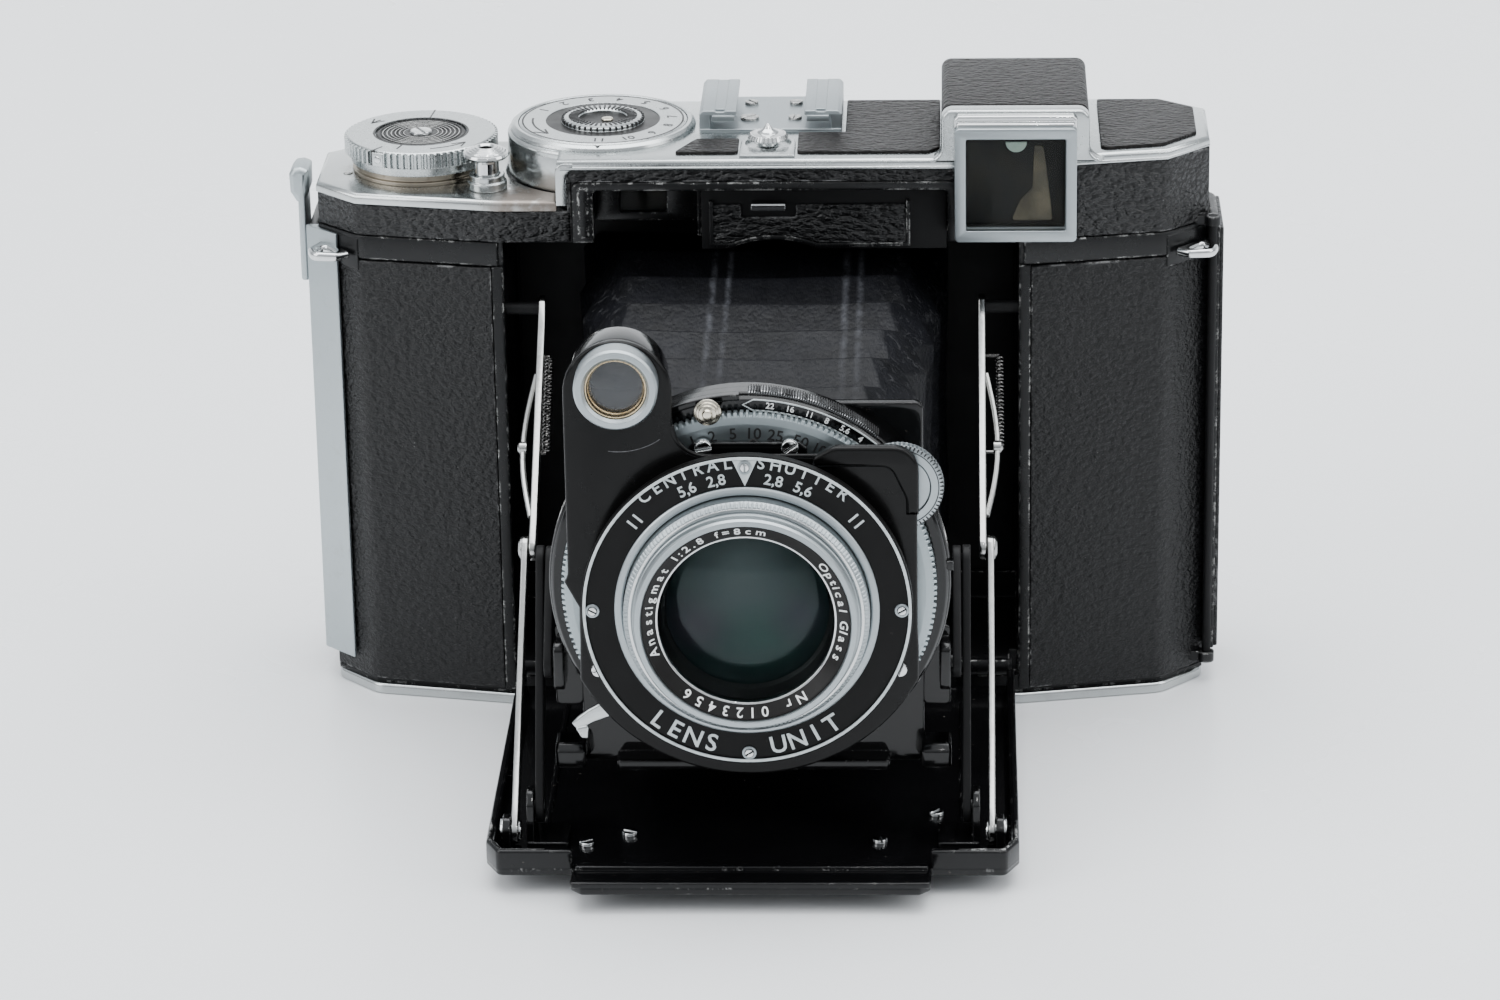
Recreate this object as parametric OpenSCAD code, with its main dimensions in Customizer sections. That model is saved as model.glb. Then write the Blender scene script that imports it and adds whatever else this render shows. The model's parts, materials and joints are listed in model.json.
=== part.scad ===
// Folding roll-film camera, 6 x 6 cm, opened for use.
// X runs along the body, Y runs from the lens towards the back, Z is up.
// The origin is on the base plane, under the lens axis, at the front of the body.
// Right is +X and left is -X.

/* [Casing] */
// Width of the casing over its side walls
case_w = 137.2; // [136:0.1:138]
// Width of the casing's flat back
case_flat_w = 124; // [123.5:0.1:124.5]
// Depth of the casing from its front to its back
case_d = 31; // [30.9:0.1:31.2]
// Height of the top of the low wing
wing_z = 81.4; // [81.2:0.1:81.6]
// Height of the top of the casing under the main top plate
case_z = 88; // [87.9:0.1:88.2]
// Half width of the front opening
open_hw = 39.4; // [39.3:0.1:39.6]
// Thickness of the leather covering
leather_t = 0.7; // [0.5:0.05:0.7]

/* [Lens] */
// Height of the lens axis above the base
axis_z = 44.7; // [44.6:0.1:44.8]
// Radius of the round faceplate
face_r = 23.6; // [23:0.1:24]
// Radius of the knurled shutter speed ring
speed_r = 27; // [26.5:0.1:27.5]
// Radius of the shutter case
shutter_r = 28.6; // [28:0.1:28.7]

/* [Winding] */
// Radius of the wind knob
knob_r = 11.9; // [11.5:0.1:12]
// Distance of the spool axes from the lens axis
spool_x = 53; // [52.9:0.1:53.1]
// Distance of the spool axes behind the front
spool_y = 18; // [17.9:0.1:18.1]
// Radius of the spool flanges
flange_r = 11.8; // [11.5:0.1:11.8]

/* [Front door] */
// Half width of the door
door_hw = 38.8; // [38.5:0.1:38.9]
// Distance of the door's front edge from the front of the body
door_len = 70.4; // [70:0.1:70.5]
// Height of the door's rim when open
door_rim_z = 7.0; // [6.8:0.1:7.1]

/* [Folding linkage] */
// Running clearance of the pivots, on the radius
run = 0.05; // [0.03:0.01:0.08]
// Radius of the carrier link pins
link_pin_r = 1.2; // [1.1:0.05:1.25]
// Radius of the strut pins
strut_pin_r = 1.0; // [0.9:0.05:1.05]

/* [Hidden] */
$fn = 64;

// Plan of the body: flat front, bevelled ends, side walls, then bevels to the flat back
case_hw = case_w / 2;
flat_hw = case_flat_w / 2;
front_hw = 40;
bend = [62, 4.3];
side_y = 10.7;
corner_y = 25.6;

// Heights
base_t = 1.7;              // bottom plate
wing_top = 83;             // top of the wing's plate
plate_t = 1.5;             // top plate
plate_top = case_z + plate_t;
gap = 0.02;                // between a part and the surface it sits on
on_wing = wing_top + gap;
on_plate = plate_top + gap;

// Vertical axes as [x, y]
takeup = [-spool_x, spool_y];
supply = [spool_x, spool_y];
dial = [-24.7, 18];
release = [-42, 7];        // shutter button
opener = [1.2, 7];         // door button
tripod = [0, 17];
back_hinge = [69.2, 9.2];
roller = [36.4, 26.6];     // right film roller

// Pivots of the folding linkage as [y, z]
door_hinge = [-0.4, 6.9];
link_foot = [-60.1, 9.5];    // door to lower carrier link
link_knee = [-45.8, 42.3];   // lower to upper carrier link
link_top = [-54.8, 30.1];    // upper carrier link to lens standard
strut_top = [2.6, 64.9];     // upper strut on the casing
strut_knee = [-29, 37.7];
strut_foot = [-62, 6.5];     // lower strut on the door

// Layers of the linkage on each side as [inner, outer] distance from the middle plane
ear_layer = [27.3, 28.9];
upper_link_layer = [29.15, 30.4];
lower_link_layer = [30.6, 31.8];
link_foot_layer = [32.0, 33.1];
upper_strut_layer = [33.4, 34.2];
lower_strut_layer = [34.4, 35.2];
strut_foot_layer = [35.4, 36.6];

// ---- Helpers ----
module prism(points, low, high)
  translate([0, 0, low]) linear_extrude(height = high - low) polygon(points);
// Box between two opposite corners
module box(low, high) { translate(low) cube(high - low); }
// Cylinder along X, centred on [y, z]
module cylx(at, x0, x1, radius)
  translate([x0, at[0], at[1]]) rotate([0, 90, 0]) cylinder(h = x1 - x0, r = radius);
// Cylinder along Y, centred on [x, z]
module cyly(at, y0, y1, radius)
  translate([at[0], y1, at[1]]) rotate([90, 0, 0]) cylinder(h = y1 - y0, r = radius);
// Cylinder along Z, centred on [x, y]
module cylz(at, z0, z1, radius) { translate([at[0], at[1], z0]) cylinder(h = z1 - z0, r = radius); }
// Disc and ring on the lens axis
module lens_disc(y0, y1, radius) { cyly([0, axis_z], y0, y1, radius); }
module lens_ring(y0, y1, radius, bore) difference() {
  lens_disc(y0, y1, radius);
  lens_disc(y0 - 1, y1 + 1, bore);
}
// Plate drawn in X and Z, with its back face at y
module slab_y(y, thick)
  translate([0, y, 0]) rotate([90, 0, 0]) linear_extrude(height = thick) children();
// The children, drawn for the right side, on both sides
module both_sides() { for (side = [-1, 1]) scale([side, 1, 1]) children(); }
// Ring of teeth as small square blocks around a Y axis
module teeth_y(at, radius, y0, y1, count, width, depth)
  for (i = [0:count - 1]) translate([at[0], 0, at[1]]) rotate([0, i * 360 / count, 0])
    translate([radius - 0.3, y0, -width / 2]) cube([depth + 0.3, y1 - y0, width]);
module screw_slot(at, z, angle, size)
  translate([at[0], at[1], z]) rotate([0, 0, angle]) cube(size, center = true);
// Closed outline from its right half
function symmetric(points) = concat(points, mirrored(points));
function mirrored(points) =
  [for (i = [len(points) - 1:-1:0]) [-points[i][0], points[i][1]]];

// Right end of the body's plan, from front to back, with the front moved back by inset
function right_end(inset, back = case_d) = [[front_hw, inset], [bend[0], bend[1] + inset],
  [case_hw, side_y + 0.4 * inset], [case_hw, corner_y], [flat_hw, back]];
// Plan of the raised block, from left_x to the right end, with a round bulge at the dial
module block_plan(left_x, bulge_r, inset) {
  polygon(concat([[left_x, inset]], right_end(inset), [[left_x, case_d]]));
  intersection() {
    translate(dial) circle(r = bulge_r);
    translate([-60, inset]) square([60, case_d - inset]);
  }
}

// ---- Casing ----
knuckles = [[-38, -30], [-4, 4], [30, 38]];  // casing's door knuckles as [x0, x1]
knuckle_r = 1.8;
door_pin_r = 0.9;
back_pin_r = 0.7;
chamber_z = [10, 79];                        // floor and roof of the spool chambers
opening_top = 76.2;

module casing() color([0.09, 0.09, 0.095]) difference() {
  union() {
    prism(symmetric(right_end(leather_t)), base_t, wing_z);
    translate([0, 0, wing_z - 0.5]) linear_extrude(height = case_z - wing_z + 0.5)
      block_plan(-29.4, 12.7, leather_t);
    for (x = knuckles) cylx(door_hinge, x[0], x[1], knuckle_r);
    // ears for the back's hinge
    for (z = [[3.4, 5.0], [75.9, 77.3]]) {
      cylz(back_hinge, z[0], z[1], 1.25);
      box([66.2, 8.9, z[0]], [back_hinge[0], 10.4, z[1]]);
    }
  }
  // chamber behind the door
  box([-open_hw, -3, 8], [open_hw, 24.5, opening_top]);
  // sill in front of the chamber, around the door's knuckles
  difference() {
    box([-39.3, -3, 4.4], [39.3, 2.7, 8.2]);
    for (x = knuckles) {
      cylx(door_hinge, x[0], x[1], knuckle_r);
      box([x[0], door_hinge[0], 5.1], [x[1], 3, 8.2]);
    }
  }
  cylx(door_hinge, -40, 40, door_pin_r + 0.05);
  // spool chambers, open to the back
  both_sides() prism([[41, 4], [60.5, 6.1], [67.2, 12], [67.2, 29], [61, 31.5], [41, 31.5]],
    chamber_z[0], chamber_z[1]);
  // film path
  box([-61, 27.6, chamber_z[0]], [61, 32, chamber_z[1]]);
  box([-open_hw, 20, 12.5], [open_hw, 28, opening_top]);
  // recess for the door's tongue and the rangefinder arm
  box([-25.4, -1, 75.9], [28.6, 5.7, 84.6]);
  box([-26.8, 3.5, 75.9], [-9.3, 24, 85.2]);
  box([-9.4, 5.6, 75.9], [27.2, 26, 85.8]);
  // rangefinder works
  box([28.8, 6, 82.6], [65.8, 24, 88.5]);
  // finder tube
  box([31.3, -1, 85.6], [46.3, 31.5, 88.5]);
  // tripod bush, wind shaft and button holes
  cylz(tripod, 1, 6.1, 5.2);
  cylz(takeup, 70, 90, 3.2);
  cylz(release, 75, 90, 1.75);
  cylz(opener, 80, 90, 1.6);
  cylz(dial, 85, 90, 3.05);
  // pin holes
  cylz(back_hinge, 2, 80, 0.75);
  cylx(strut_top, -42, 42, strut_pin_r);
}
module bottom_plate() color([0.7, 0.72, 0.72]) difference() {
  prism(symmetric(right_end(-0.3, 31.4)), 0, base_t);
  cylz(tripod, -1, 3, 5.2);
}
module tripod_bush() color([0.62, 0.62, 0.6]) difference() {
  cylz(tripod, 0, 6.0, 5.15);
  cylz(tripod, -1, 5.0, 2.6);
}

// Plan of the covering on the right end, starting at x between y and y_back
function end_strip(x, y, y_back) = [[x, y], bend, [case_hw, side_y],
  [case_hw, 10.97], [bend[0], 4.99], [x, y_back]];
module front_leather() color([0.055, 0.055, 0.06]) difference() {
  both_sides() prism(end_strip(40.6, 0.12, 0.81), 2.4, 75.9);
  // room for the strap lugs
  both_sides() box([60, -1, 70.2], [70, 12, 76.5]);
  // room for the lower hinge ear
  box([65.6, 5, 3.3], [70, 12, 5.1]);
}
module band_leather() color([0.06, 0.058, 0.06]) {
  strip = end_strip(front_hw, 0, leather_t);
  step = [[-29.35, 0], [-29.35, leather_t]];
  difference() {
    union() {
      prism(concat(mirrored(strip), step), 76.4, 81.3);
      prism(concat([step[0]], strip, [step[1]]), 76.4, 87.9);
    }
    box([-28.7, -1, 70], [30.2, 3, 86]);
    box([65.6, 5, 75], [70, 12, 77.4]);
    box([29.5, -1, 77.3], [48.1, 3, 90]);
  }
}
module recess_trim() color([0.05, 0.05, 0.055]) {
  // rim around the recess
  difference() {
    box([-28.6, 0.1, 76.3], [30.1, leather_t, 85.9]);
    box([-25.4, -1, 75], [28.6, 3, 84.6]);
  }
  // inner plate with an arched lower edge and a slot for the catch
  difference() {
    box([-9.2, 4.1, 73.6], [28.5, 5.5, 84.5]);
    cyly([2, 58.5], 3, 7, 16.6);
    box([-2.2, 3, 79.2], [4.6, 7, 81.8]);
  }
}
module strap_lugs() color([0.74, 0.76, 0.76]) {
  eye = [67.1, 5.7];
  both_sides() difference() {
    union() {
      prism([[62.2, 5.15], [62.67, 4.63], [67.77, 9.25], [67.3, 9.77]], 70.4, 75.8);
      cylz(eye, 71.9, 74.3, 2.6);
    }
    cylz(eye, 70, 76, 1.3);
  }
}
module hinge_pins() color([0.6, 0.6, 0.6]) {
  cylx(door_hinge, -38.4, 38.4, door_pin_r);
  cylz(back_hinge, 3.4, 77.3, back_pin_r);
  both_sides() cylx(strut_top, upper_strut_layer[0] - 0.15, 40.8, strut_pin_r - 0.02);
}

// ---- Top ----
eyepiece = [38.8, 92.4];    // [x, z]
eyepiece_r = 3.0;
shoe_x = 1.3;               // middle of the shoe
shoe_hw = 10.9;
shoe_y = [13.8, 31];
shoe_screw_at = [[-2, 19], [5, 19], [-2, 27], [5, 27]];

module window_glasses() color([0.35, 0.4, 0.42, 0.5]) {
  box([31.4, -2.2, 79.3], [46.2, -1.0, 93.7]);
  cyly(eyepiece, 26.5, 27.4, eyepiece_r - 0.02);
  box([-22.6, 16.4, 71.0], [-14.8, 18.2, 75.7]);
}
module top_wing() color([0.72, 0.74, 0.74]) difference() {
  prism([[-40, -0.2], [-30.9, -0.2], [-30.9, 31.2], [-62, 31.2],
    [-68.8, 25.8], [-68.8, 10.4], [-62.2, 4.0]], wing_z, wing_top);
  translate([0, 0, 80]) linear_extrude(height = 5) block_plan(-30.9, 14.1, -1);
  cylz(takeup, 80, 90, 3.2);
  cylz(release, 80, 90, 1.75);
}
// Plan of the top plate over the raised block
module plate_plan() { block_plan(-30.8, 14, -0.2); }
module shoe_screw_holes() { for (at = shoe_screw_at) cylz(at, 80, 95, 0.85); }
module top_plate() color([0.74, 0.76, 0.76]) difference() {
  union() {
    translate([0, 0, case_z]) linear_extrude(height = plate_t) plate_plan();
    // wall down to the wing
    translate([0, 0, wing_z + 0.05]) linear_extrude(height = case_z - wing_z) difference() {
      plate_plan();
      block_plan(-29.45, 12.75, -1);
      translate([-29.45, -2]) square([120, 40]);
    }
    // finder housing
    box([27.6, 1.4, 89], [50, 27.8, 96.7]);
  }
  box([29.2, 0, 87], [48.4, 26.2, 95.3]);
  cyly(eyepiece, 25, 30, eyepiece_r);
  cylz(dial, 80, 89, 3.0);
  cylz(dial, 88.6, 92, 12.7);
  cylz(opener, 80, 92, 3.3);
  shoe_screw_holes();
}
// Top leather patches as [x, y] outlines
top_patches = [
  [[51.5, 3.6], [61.5, 5.8], [66.9, 11.6], [66.9, 25], [61.5, 29.4], [51.5, 29.4]],
  [[-12.6, 3.2], [-3.2, 3.2], [-3.2, 9.6], [-10.4, 9.6]],
  [[5.6, 3.2], [26.4, 3.2], [26.4, 29.4], [14.2, 29.4], [14.2, 12.2], [5.6, 12.2]]];
module top_leather() color([0.07, 0.055, 0.05]) {
  box([28.8, 2.6, 96.72], [48.8, 26.6, 97.2]);
  for (patch = top_patches) prism(patch, on_plate, 90.1);
}
module finder_frame() color([0.75, 0.77, 0.77]) difference() {
  box([29.6, -4, 77.4], [48, 1.35, 95.5]);
  box([31.3, -5, 79.2], [46.3, 2, 93.8]);
  box([29, -0.25, 76], [49, 2, 89.6]);
}
// Shoe with the usual 18.6 mm slot
module accessory_shoe() color([0.76, 0.78, 0.78]) difference() {
  union() {
    box([shoe_x - shoe_hw, shoe_y[0], on_plate], [shoe_x + shoe_hw, shoe_y[1], 90.1]);
    translate([shoe_x, 0, 0]) both_sides() {
      box([9.3, shoe_y[0], 90.05], [shoe_hw, shoe_y[1], 92.95]);
      box([5.2, shoe_y[0], 92.15], [shoe_hw, shoe_y[1], 92.95]);
    }
  }
  shoe_screw_holes();
}
module shoe_screws() color([0.6, 0.6, 0.58]) for (at = shoe_screw_at) difference() {
  union() {
    cylz(at, 88.2, 90.2, 0.8);
    cylz(at, 90.15, 90.6, 1.5);
  }
  screw_slot(at, 90.6, at[0] * 31 + at[1] * 17, [4, 0.35, 0.5]);
}
// Fixed collars on the top
module top_collars() color([0.72, 0.73, 0.72]) {
  // knob seat
  difference() {
    cylz(takeup, on_wing, 84.5, 10.4);
    cylz(takeup, 82, 86, 3.2);
  }
  // shutter button guide
  difference() {
    union() {
      cylz(release, on_wing, 85.3, 2.95);
      cylz(release, 79, 83.1, 1.7);
    }
    cylz(release, 78, 90, 1.25);
    cylz(release, 83.3, 90, 1.95);
  }
  // dial rim
  difference() {
    cylz(dial, on_plate, 90.4, 13.7);
    cylz(dial, 88, 92, 12.6);
  }
  // door button guide
  difference() {
    cylz(opener, 88.05, plate_top, 3.25);
    cylz(opener, 87, 92, 1.25);
  }
}
module counter_dial() color([0.78, 0.8, 0.8]) difference() {
  union() {
    cylz(dial, plate_top, 90.5, 12.5);
    cylz(dial, 85.6, 89.6, 2.95);
    cylz(dial, 90.4, 91.2, 5.6);
  }
  // ring groove, then the hollow in the hub
  difference() {
    cylz(dial, 90.3, 92, 8.4);
    cylz(dial, 90, 93, 6.2);
  }
  cylz(dial, 90.8, 92, 3.4);
}
module shutter_button() color([0.77, 0.79, 0.79]) difference() {
  union() {
    cylz(release, 77, 86, 1.2);
    cylz(release, 85.4, 87.6, 1.9);
    cylz(release, 87.5, 88.7, 3.55);
    cylz(release, 88.6, 89.8, 2.6);
  }
  cylz(release, 86.3, 91, 1.05);
}
module door_button() color([0.77, 0.79, 0.79]) {
  cylz(opener, 84.8, 91, 1.2);
  cylz(opener, 90.55, 91.5, 2.95);
  cylz(opener, 91.4, 91.9, 1.6);
}
module door_catch() color([0.78, 0.8, 0.8]) difference() {
  union() {
    box([-1.4, 2.6, 80.4], [3.8, 8.2, 81.6]);
    box([-0.4, 5.8, 81.5], [2.8, 8.2, 84.7]);
  }
  box([-2, 2, 81.2], [5, 3.0, 82]);
}

// ---- Film transport ----
module film_gate() color([0.07, 0.07, 0.075]) difference() {
  union() {
    box([-39.3, 24.6, 12.6], [39.3, 26.4, 76.1]);
    both_sides() {
      // film rail, then the roller's bearings
      box([28.4, 26.3, 14], [29.4, 27.5, 75]);
      for (z = [[12.7, 13.7], [75, 76]]) box([33.5, 24.7, z[0]], [39.2, 30.2, z[1]]);
    }
  }
  box([-28, 20, axis_z - 28], [28, 28, axis_z + 28]);
  both_sides() {
    cylz(roller, 12, 77, 1.05);
    cylz(roller, 13.7, 75, 2.5);
  }
}
module film_roller(side) color([0.7, 0.7, 0.7]) {
  at = [side * roller[0], roller[1]];
  cylz(at, 12.9, 75.8, 1.0);
  cylz(at, 14, 74.7, 2.2);
}
module film_roller_left() film_roller(-1);
module film_roller_right() film_roller(1);
module spool(at) color([0.12, 0.12, 0.12]) difference() {
  union() {
    cylz(at, 12, 13, flange_r);
    cylz(at, 76.2, 77.2, flange_r);
    cylz(at, 12.5, 77, 5.6);
  }
  cylz(at, 74, 78, 3.2);
  cylz(at, 11, 15, 3.2);
}
module supply_spool() spool(supply);
module takeup_spool() spool(takeup);
module wind_knob() color([0.76, 0.78, 0.78]) difference() {
  union() {
    cylz(takeup, 85.9, 88.6, knob_r - 0.35);
    // knurling
    for (i = [0:71]) translate([takeup[0], takeup[1], 85.9]) rotate([0, 0, i * 5])
      translate([knob_r - 0.8, -0.26, 0]) cube([0.8, 0.52, 2.3]);
    cylz(takeup, 84.6, 86, 10.9);
    // shaft and the key in the spool
    cylz(takeup, 75.4, 86, 3.15);
    translate([takeup[0] - 2.9, takeup[1] - 0.5, 74.6]) cube([5.8, 1, 1]);
  }
  cylz(takeup, 88.1, 89, 6.9);
  cylz(takeup, 86, 89, 1.1);
  // notch in the rim
  translate([takeup[0] - 9.6, takeup[1] - 12, 85.8]) rotate([0, 0, 22]) cube([0.5, 5.2, 3]);
}
module knob_disc() color([0.1, 0.09, 0.09]) difference() {
  union() {
    cylz(takeup, 88.12, 88.5, 6.8);
    cylz(takeup, 86.5, 88.3, 1.0);
    cylz(takeup, 88.4, 88.85, 1.9);
  }
  for (groove_r = [3, 4, 5, 6]) difference() {
    cylz(takeup, 88.35, 89.2, groove_r + 0.2);
    cylz(takeup, 88, 90, groove_r - 0.2);
  }
}

// ---- Front door, a pressed pan with raised sides and a tongue ----
pan_z = [3.0, 4.2];          // underside and inside of the pan
on_pan = pan_z[1] + gap;
door_back = -2.8;
tongue_hw = 26;
// Right half of the pan's plan, from the tongue to the hinge
pan_half = [[24.4, -77], [tongue_hw, -75.4], [tongue_hw, -door_len], [36.8, -door_len],
  [door_hw, -66.4], [door_hw, door_back]];
door_screw_at = [[-18.6, -31.7], [-11, -31.7], [12.4, -31.8], [27.1, -31.8],
  [26.7, -51.8], [18.5, -61.3], [-18.3, -58.9], [-24.4, -62.4]];

module door_shell() color([0.04, 0.04, 0.045]) difference() {
  union() {
    prism(symmetric(pan_half), pan_z[0], pan_z[1]);
    both_sides() {
      // side rim and front corner rim
      box([door_hw - 1.1, -67.4, 4], [door_hw, door_back, door_rim_z]);
      prism([[door_hw, -66.6], [36.9, -door_len], [tongue_hw, -door_len],
        [tongue_hw, -door_len + 1.1], [36.2, -door_len + 1.1], [door_hw - 1.1, -66.6]],
        4, door_rim_z);
      // hinge knuckle
      difference() {
        union() {
          box([22, -4.4, 3.2], [29.7, -2.4, 7.6]);
          box([22, -2.6, 5.2], [29.7, door_hinge[0], 8.6]);
          cylx(door_hinge, 22, 29.7, knuckle_r);
        }
        cylx(door_hinge, 20, 32, door_pin_r + run);
      }
    }
    // lip of the tongue
    box([-tongue_hw, -76.9, 4], [tongue_hw, -76, 4.9]);
  }
  box([-3.4, -78, 2], [3.4, -75.6, 3.7]);
}
module door_leather() color([0.055, 0.055, 0.06])
  prism(symmetric([[34.4, -68], [36, -65.6], [36, -4]]), 2.4, pan_z[0] - gap);
module door_screws() color([0.75, 0.75, 0.74]) for (at = door_screw_at) difference() {
  cylz(at, on_pan, 4.9, 1.1);
  screw_slot(at, 4.9, at[0] * 37 + at[1] * 13, [3, 0.3, 0.5]);
}
module door_brackets() color([0.05, 0.05, 0.055]) both_sides() {
  link = link_foot_layer;
  strut = strut_foot_layer;
  // foot of the carrier link
  box([link[0], link_foot[0] - 3.6, on_pan], [link[1], link_foot[0] + 3.6, link_foot[1] - 1]);
  cylx(link_foot, link[0], link[1], 2.8);
  cylx(link_foot, lower_link_layer[0] - 0.1, link[1], link_pin_r);
  box([link[0] - 5, link_foot[0] - 3.6, on_pan], [link[1], link_foot[0] + 3.6, 5.2]);
  // foot of the strut
  box([strut[0], strut_foot[0] - 2.6, on_pan], [strut[1], strut_foot[0] + 2.6, strut_foot[1]]);
  cylx(strut_foot, strut[0], strut[1], 2.2);
  cylx(strut_foot, lower_strut_layer[0] - 0.08, strut[1], strut_pin_r);
}

// ---- Folding linkage ----
// Angle above +Y of the line between two pivots
function tilt(from, to) = atan2(to[1] - from[1], to[0] - from[0]);
// Flat bar between two pivots, in a layer on the right side
module bar(from, to, radius, layer) {
  cylx(from, layer[0], layer[1], radius);
  cylx(to, layer[0], layer[1], radius);
  translate([layer[0], from[0], from[1]]) rotate([tilt(from, to), 0, 0])
    translate([0, 0, 0.1 - radius])
      cube([layer[1] - layer[0], norm(to - from), 2 * (radius - 0.1)]);
}
module carrier_link_lower() color([0.06, 0.06, 0.065]) both_sides() {
  difference() {
    bar(link_foot, link_knee, 2.4, lower_link_layer);
    cylx(link_foot, 29, 33, link_pin_r + run);
  }
  cylx(link_knee, upper_link_layer[0] - 0.05, lower_link_layer[1] - 0.3, link_pin_r);
}
module carrier_link_upper() color([0.06, 0.06, 0.065]) both_sides() difference() {
  bar(link_knee, link_top, 2.3, upper_link_layer);
  for (at = [link_knee, link_top]) cylx(at, 28, 32, link_pin_r + run);
}
module strut_upper() color([0.78, 0.8, 0.8]) both_sides() difference() {
  bar(strut_top, strut_knee, 1.8, upper_strut_layer);
  cylx(strut_top, 33, 35, strut_pin_r + run);
}
module strut_lower() color([0.78, 0.8, 0.8]) both_sides() {
  difference() {
    bar(strut_knee, strut_foot, 1.8, lower_strut_layer);
    cylx(strut_foot, 34, 36, strut_pin_r + run);
  }
  cylx(strut_knee, 35.1, 35.7, 1.7);
}
// Springs as [axis x, tab x, arm x, arm width]: the left one inside its strut,
// the right one outside
springs = [[-32.6, -34.15, -34.1, 1.3], [36.4, 33.45, 33.5, 2.7]];
module strut_springs() color([0.7, 0.7, 0.7])
  translate([0, strut_top[0], strut_top[1]]) rotate([tilt(strut_top, strut_knee), 0, 0])
    for (spring = springs) {
      translate([spring[0], 7, 2.9]) rotate([-90, 0, 0]) cylinder(h = 17, r = 0.68);
      // tabs that hold the spring's ends to the strut's rear edge
      for (y = [6.9, 23.4]) {
        translate([spring[1], y, 1.85]) cube([0.7, 0.7, 1.5]);
        translate([spring[2], y, 2.6]) cube([spring[3], 0.7, 0.7]);
      }
    }

// ---- Lens standard and shutter ----
shutter_bore = 16.3;
board_y = [-54, -52.5];
cover_y = [-66.6, -65.4];         // front and back of the cover plate
on_cover = cover_y[0] - gap;
face_screws = [for (a = [0:90:270]) [22 * cos(a), axis_z + 22 * sin(a)]];
cover_screws = [[-21.6, 34], [21.6, 34]];
housing = [-18, 77];              // rangefinder housing, [x, z]
wedge = [-18, 77.6];
wheel = [21.6, 61.2];
lever = [-13.2, 28.6];            // release lever's pivot
stepped_screw = [-5.4, 72.1];

module lens_board() color([0.05, 0.05, 0.055]) difference() {
  union() {
    box([-25, board_y[0], 14], [25, board_y[1], 70]);
    both_sides() {
      box([24.9, board_y[0], 23], [ear_layer[1], board_y[1], 35.5]);
      box([ear_layer[0], -57.6, 26.5], [ear_layer[1], board_y[1], 33.8]);
      cylx(link_top, ear_layer[0], upper_link_layer[1] - 0.05, link_pin_r);
    }
    box([-20, -57.6, 14], [20, -53, 15.6]);
  }
  lens_disc(-60, -50, shutter_bore);
}
module shutter_case() color([0.05, 0.05, 0.055]) difference() {
  union() {
    lens_ring(-60.8, -54.05, shutter_r, shutter_bore);
    lens_ring(-69.3, -60.5, 17.6, shutter_bore);
  }
  box([-1, -61.5, 72.2], [1, -60.3, 74]);
}
module shutter_blades() color([0.15, 0.16, 0.17])
  for (i = [0:4]) translate([0, -60.2 + i * 0.32, axis_z])
    rotate([0, i * 72, 0]) rotate([90, 0, 0]) difference() {
      linear_extrude(height = 0.25)
        polygon([for (a = [-40:10:40]) 16.1 * [cos(a), sin(a)], [0, 0]]);
      cylinder(h = 1, r = 0.6, center = true);
    }
// Upper part of the cover plate as [x, z]
cover_outline = [[-25.7, 40], [-25.7, 76], [-10.3, 76], [-10.3, 70.2], [-9.2, 67.6],
  [-6.6, 66.5], [21.6, 66.5], [24.2, 63.8], [24.2, 46], [22, 40]];
module cover_plate() color([0.045, 0.045, 0.05]) difference() {
  union() {
    cyly(lever, -65.5, -63.3, 0.8);
    slab_y(cover_y[1], cover_y[1] - cover_y[0]) difference() {
      union() {
        polygon(cover_outline);
        translate([-18, 76]) circle(r = 7.7);
        translate([0, axis_z]) circle(r = 24.4);
        translate([0, axis_z]) polygon([for (a = [200:10:340]) 27.6 * [cos(a), sin(a)]]);
      }
      translate([0, axis_z]) circle(r = 17.8);
      translate(wedge) circle(r = 4.4);
    }
  }
  for (at = cover_screws) cyly(at, -67, -60, 0.5);
  cyly(wheel, -66.06, -65, 1.25);
}
module rangefinder_housing() color([0.04, 0.04, 0.045]) {
  difference() {
    union() {
      cyly(housing, -65.35, -59, 6.4);
      box([-25.6, -65.35, 60], [-10.6, -63.6, 77]);
      box([-24.4, -65.35, 70.7], [-11.6, -59, 77]);
    }
    cyly(housing, -66, -58, 4.4);
    lens_disc(-66, -58, 29.2);
  }
  // outer ring in front
  difference() {
    cyly(wedge, -70, on_cover, 5.85);
    cyly(wedge, -71, -66, 4.9);
  }
}
module rangefinder_wedge() color([0.5, 0.55, 0.55, 0.5]) cyly(wedge, -69.2, -66.7, 4.85);
module faceplate() color([0.06, 0.06, 0.065]) difference() {
  union() {
    lens_ring(-70.6, -69.4, face_r, 17.7);
    lens_ring(-71, -70.5, face_r, 22.9);
    lens_ring(-69.5, on_cover, 21.6, 20.6);
  }
  for (at = face_screws) cyly(at, -72, -69, 0.75);
}
module faceplate_screws() color([0.75, 0.76, 0.75]) {
  for (at = face_screws) cyly(at, -71.6, -69.5, 0.7);
  for (at = cover_screws) cyly(at, -67.4, on_cover, 1.1);
  // stepped screw on the shutter case
  cyly(stepped_screw, -64.6, -63.5, 1.75);
  cyly(stepped_screw, -65.1, -64.5, 1.1);
  cyly(stepped_screw, -63.6, -60.82, 0.55);
}
module lens_bezel() color([0.78, 0.8, 0.8]) difference() {
  union() {
    lens_ring(-74, -69.45, 17.55, 14.2);
    lens_ring(-76.5, -73.9, 15.4, 13.4);
  }
  lens_disc(-74.1, -69, 16.0);
}
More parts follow.
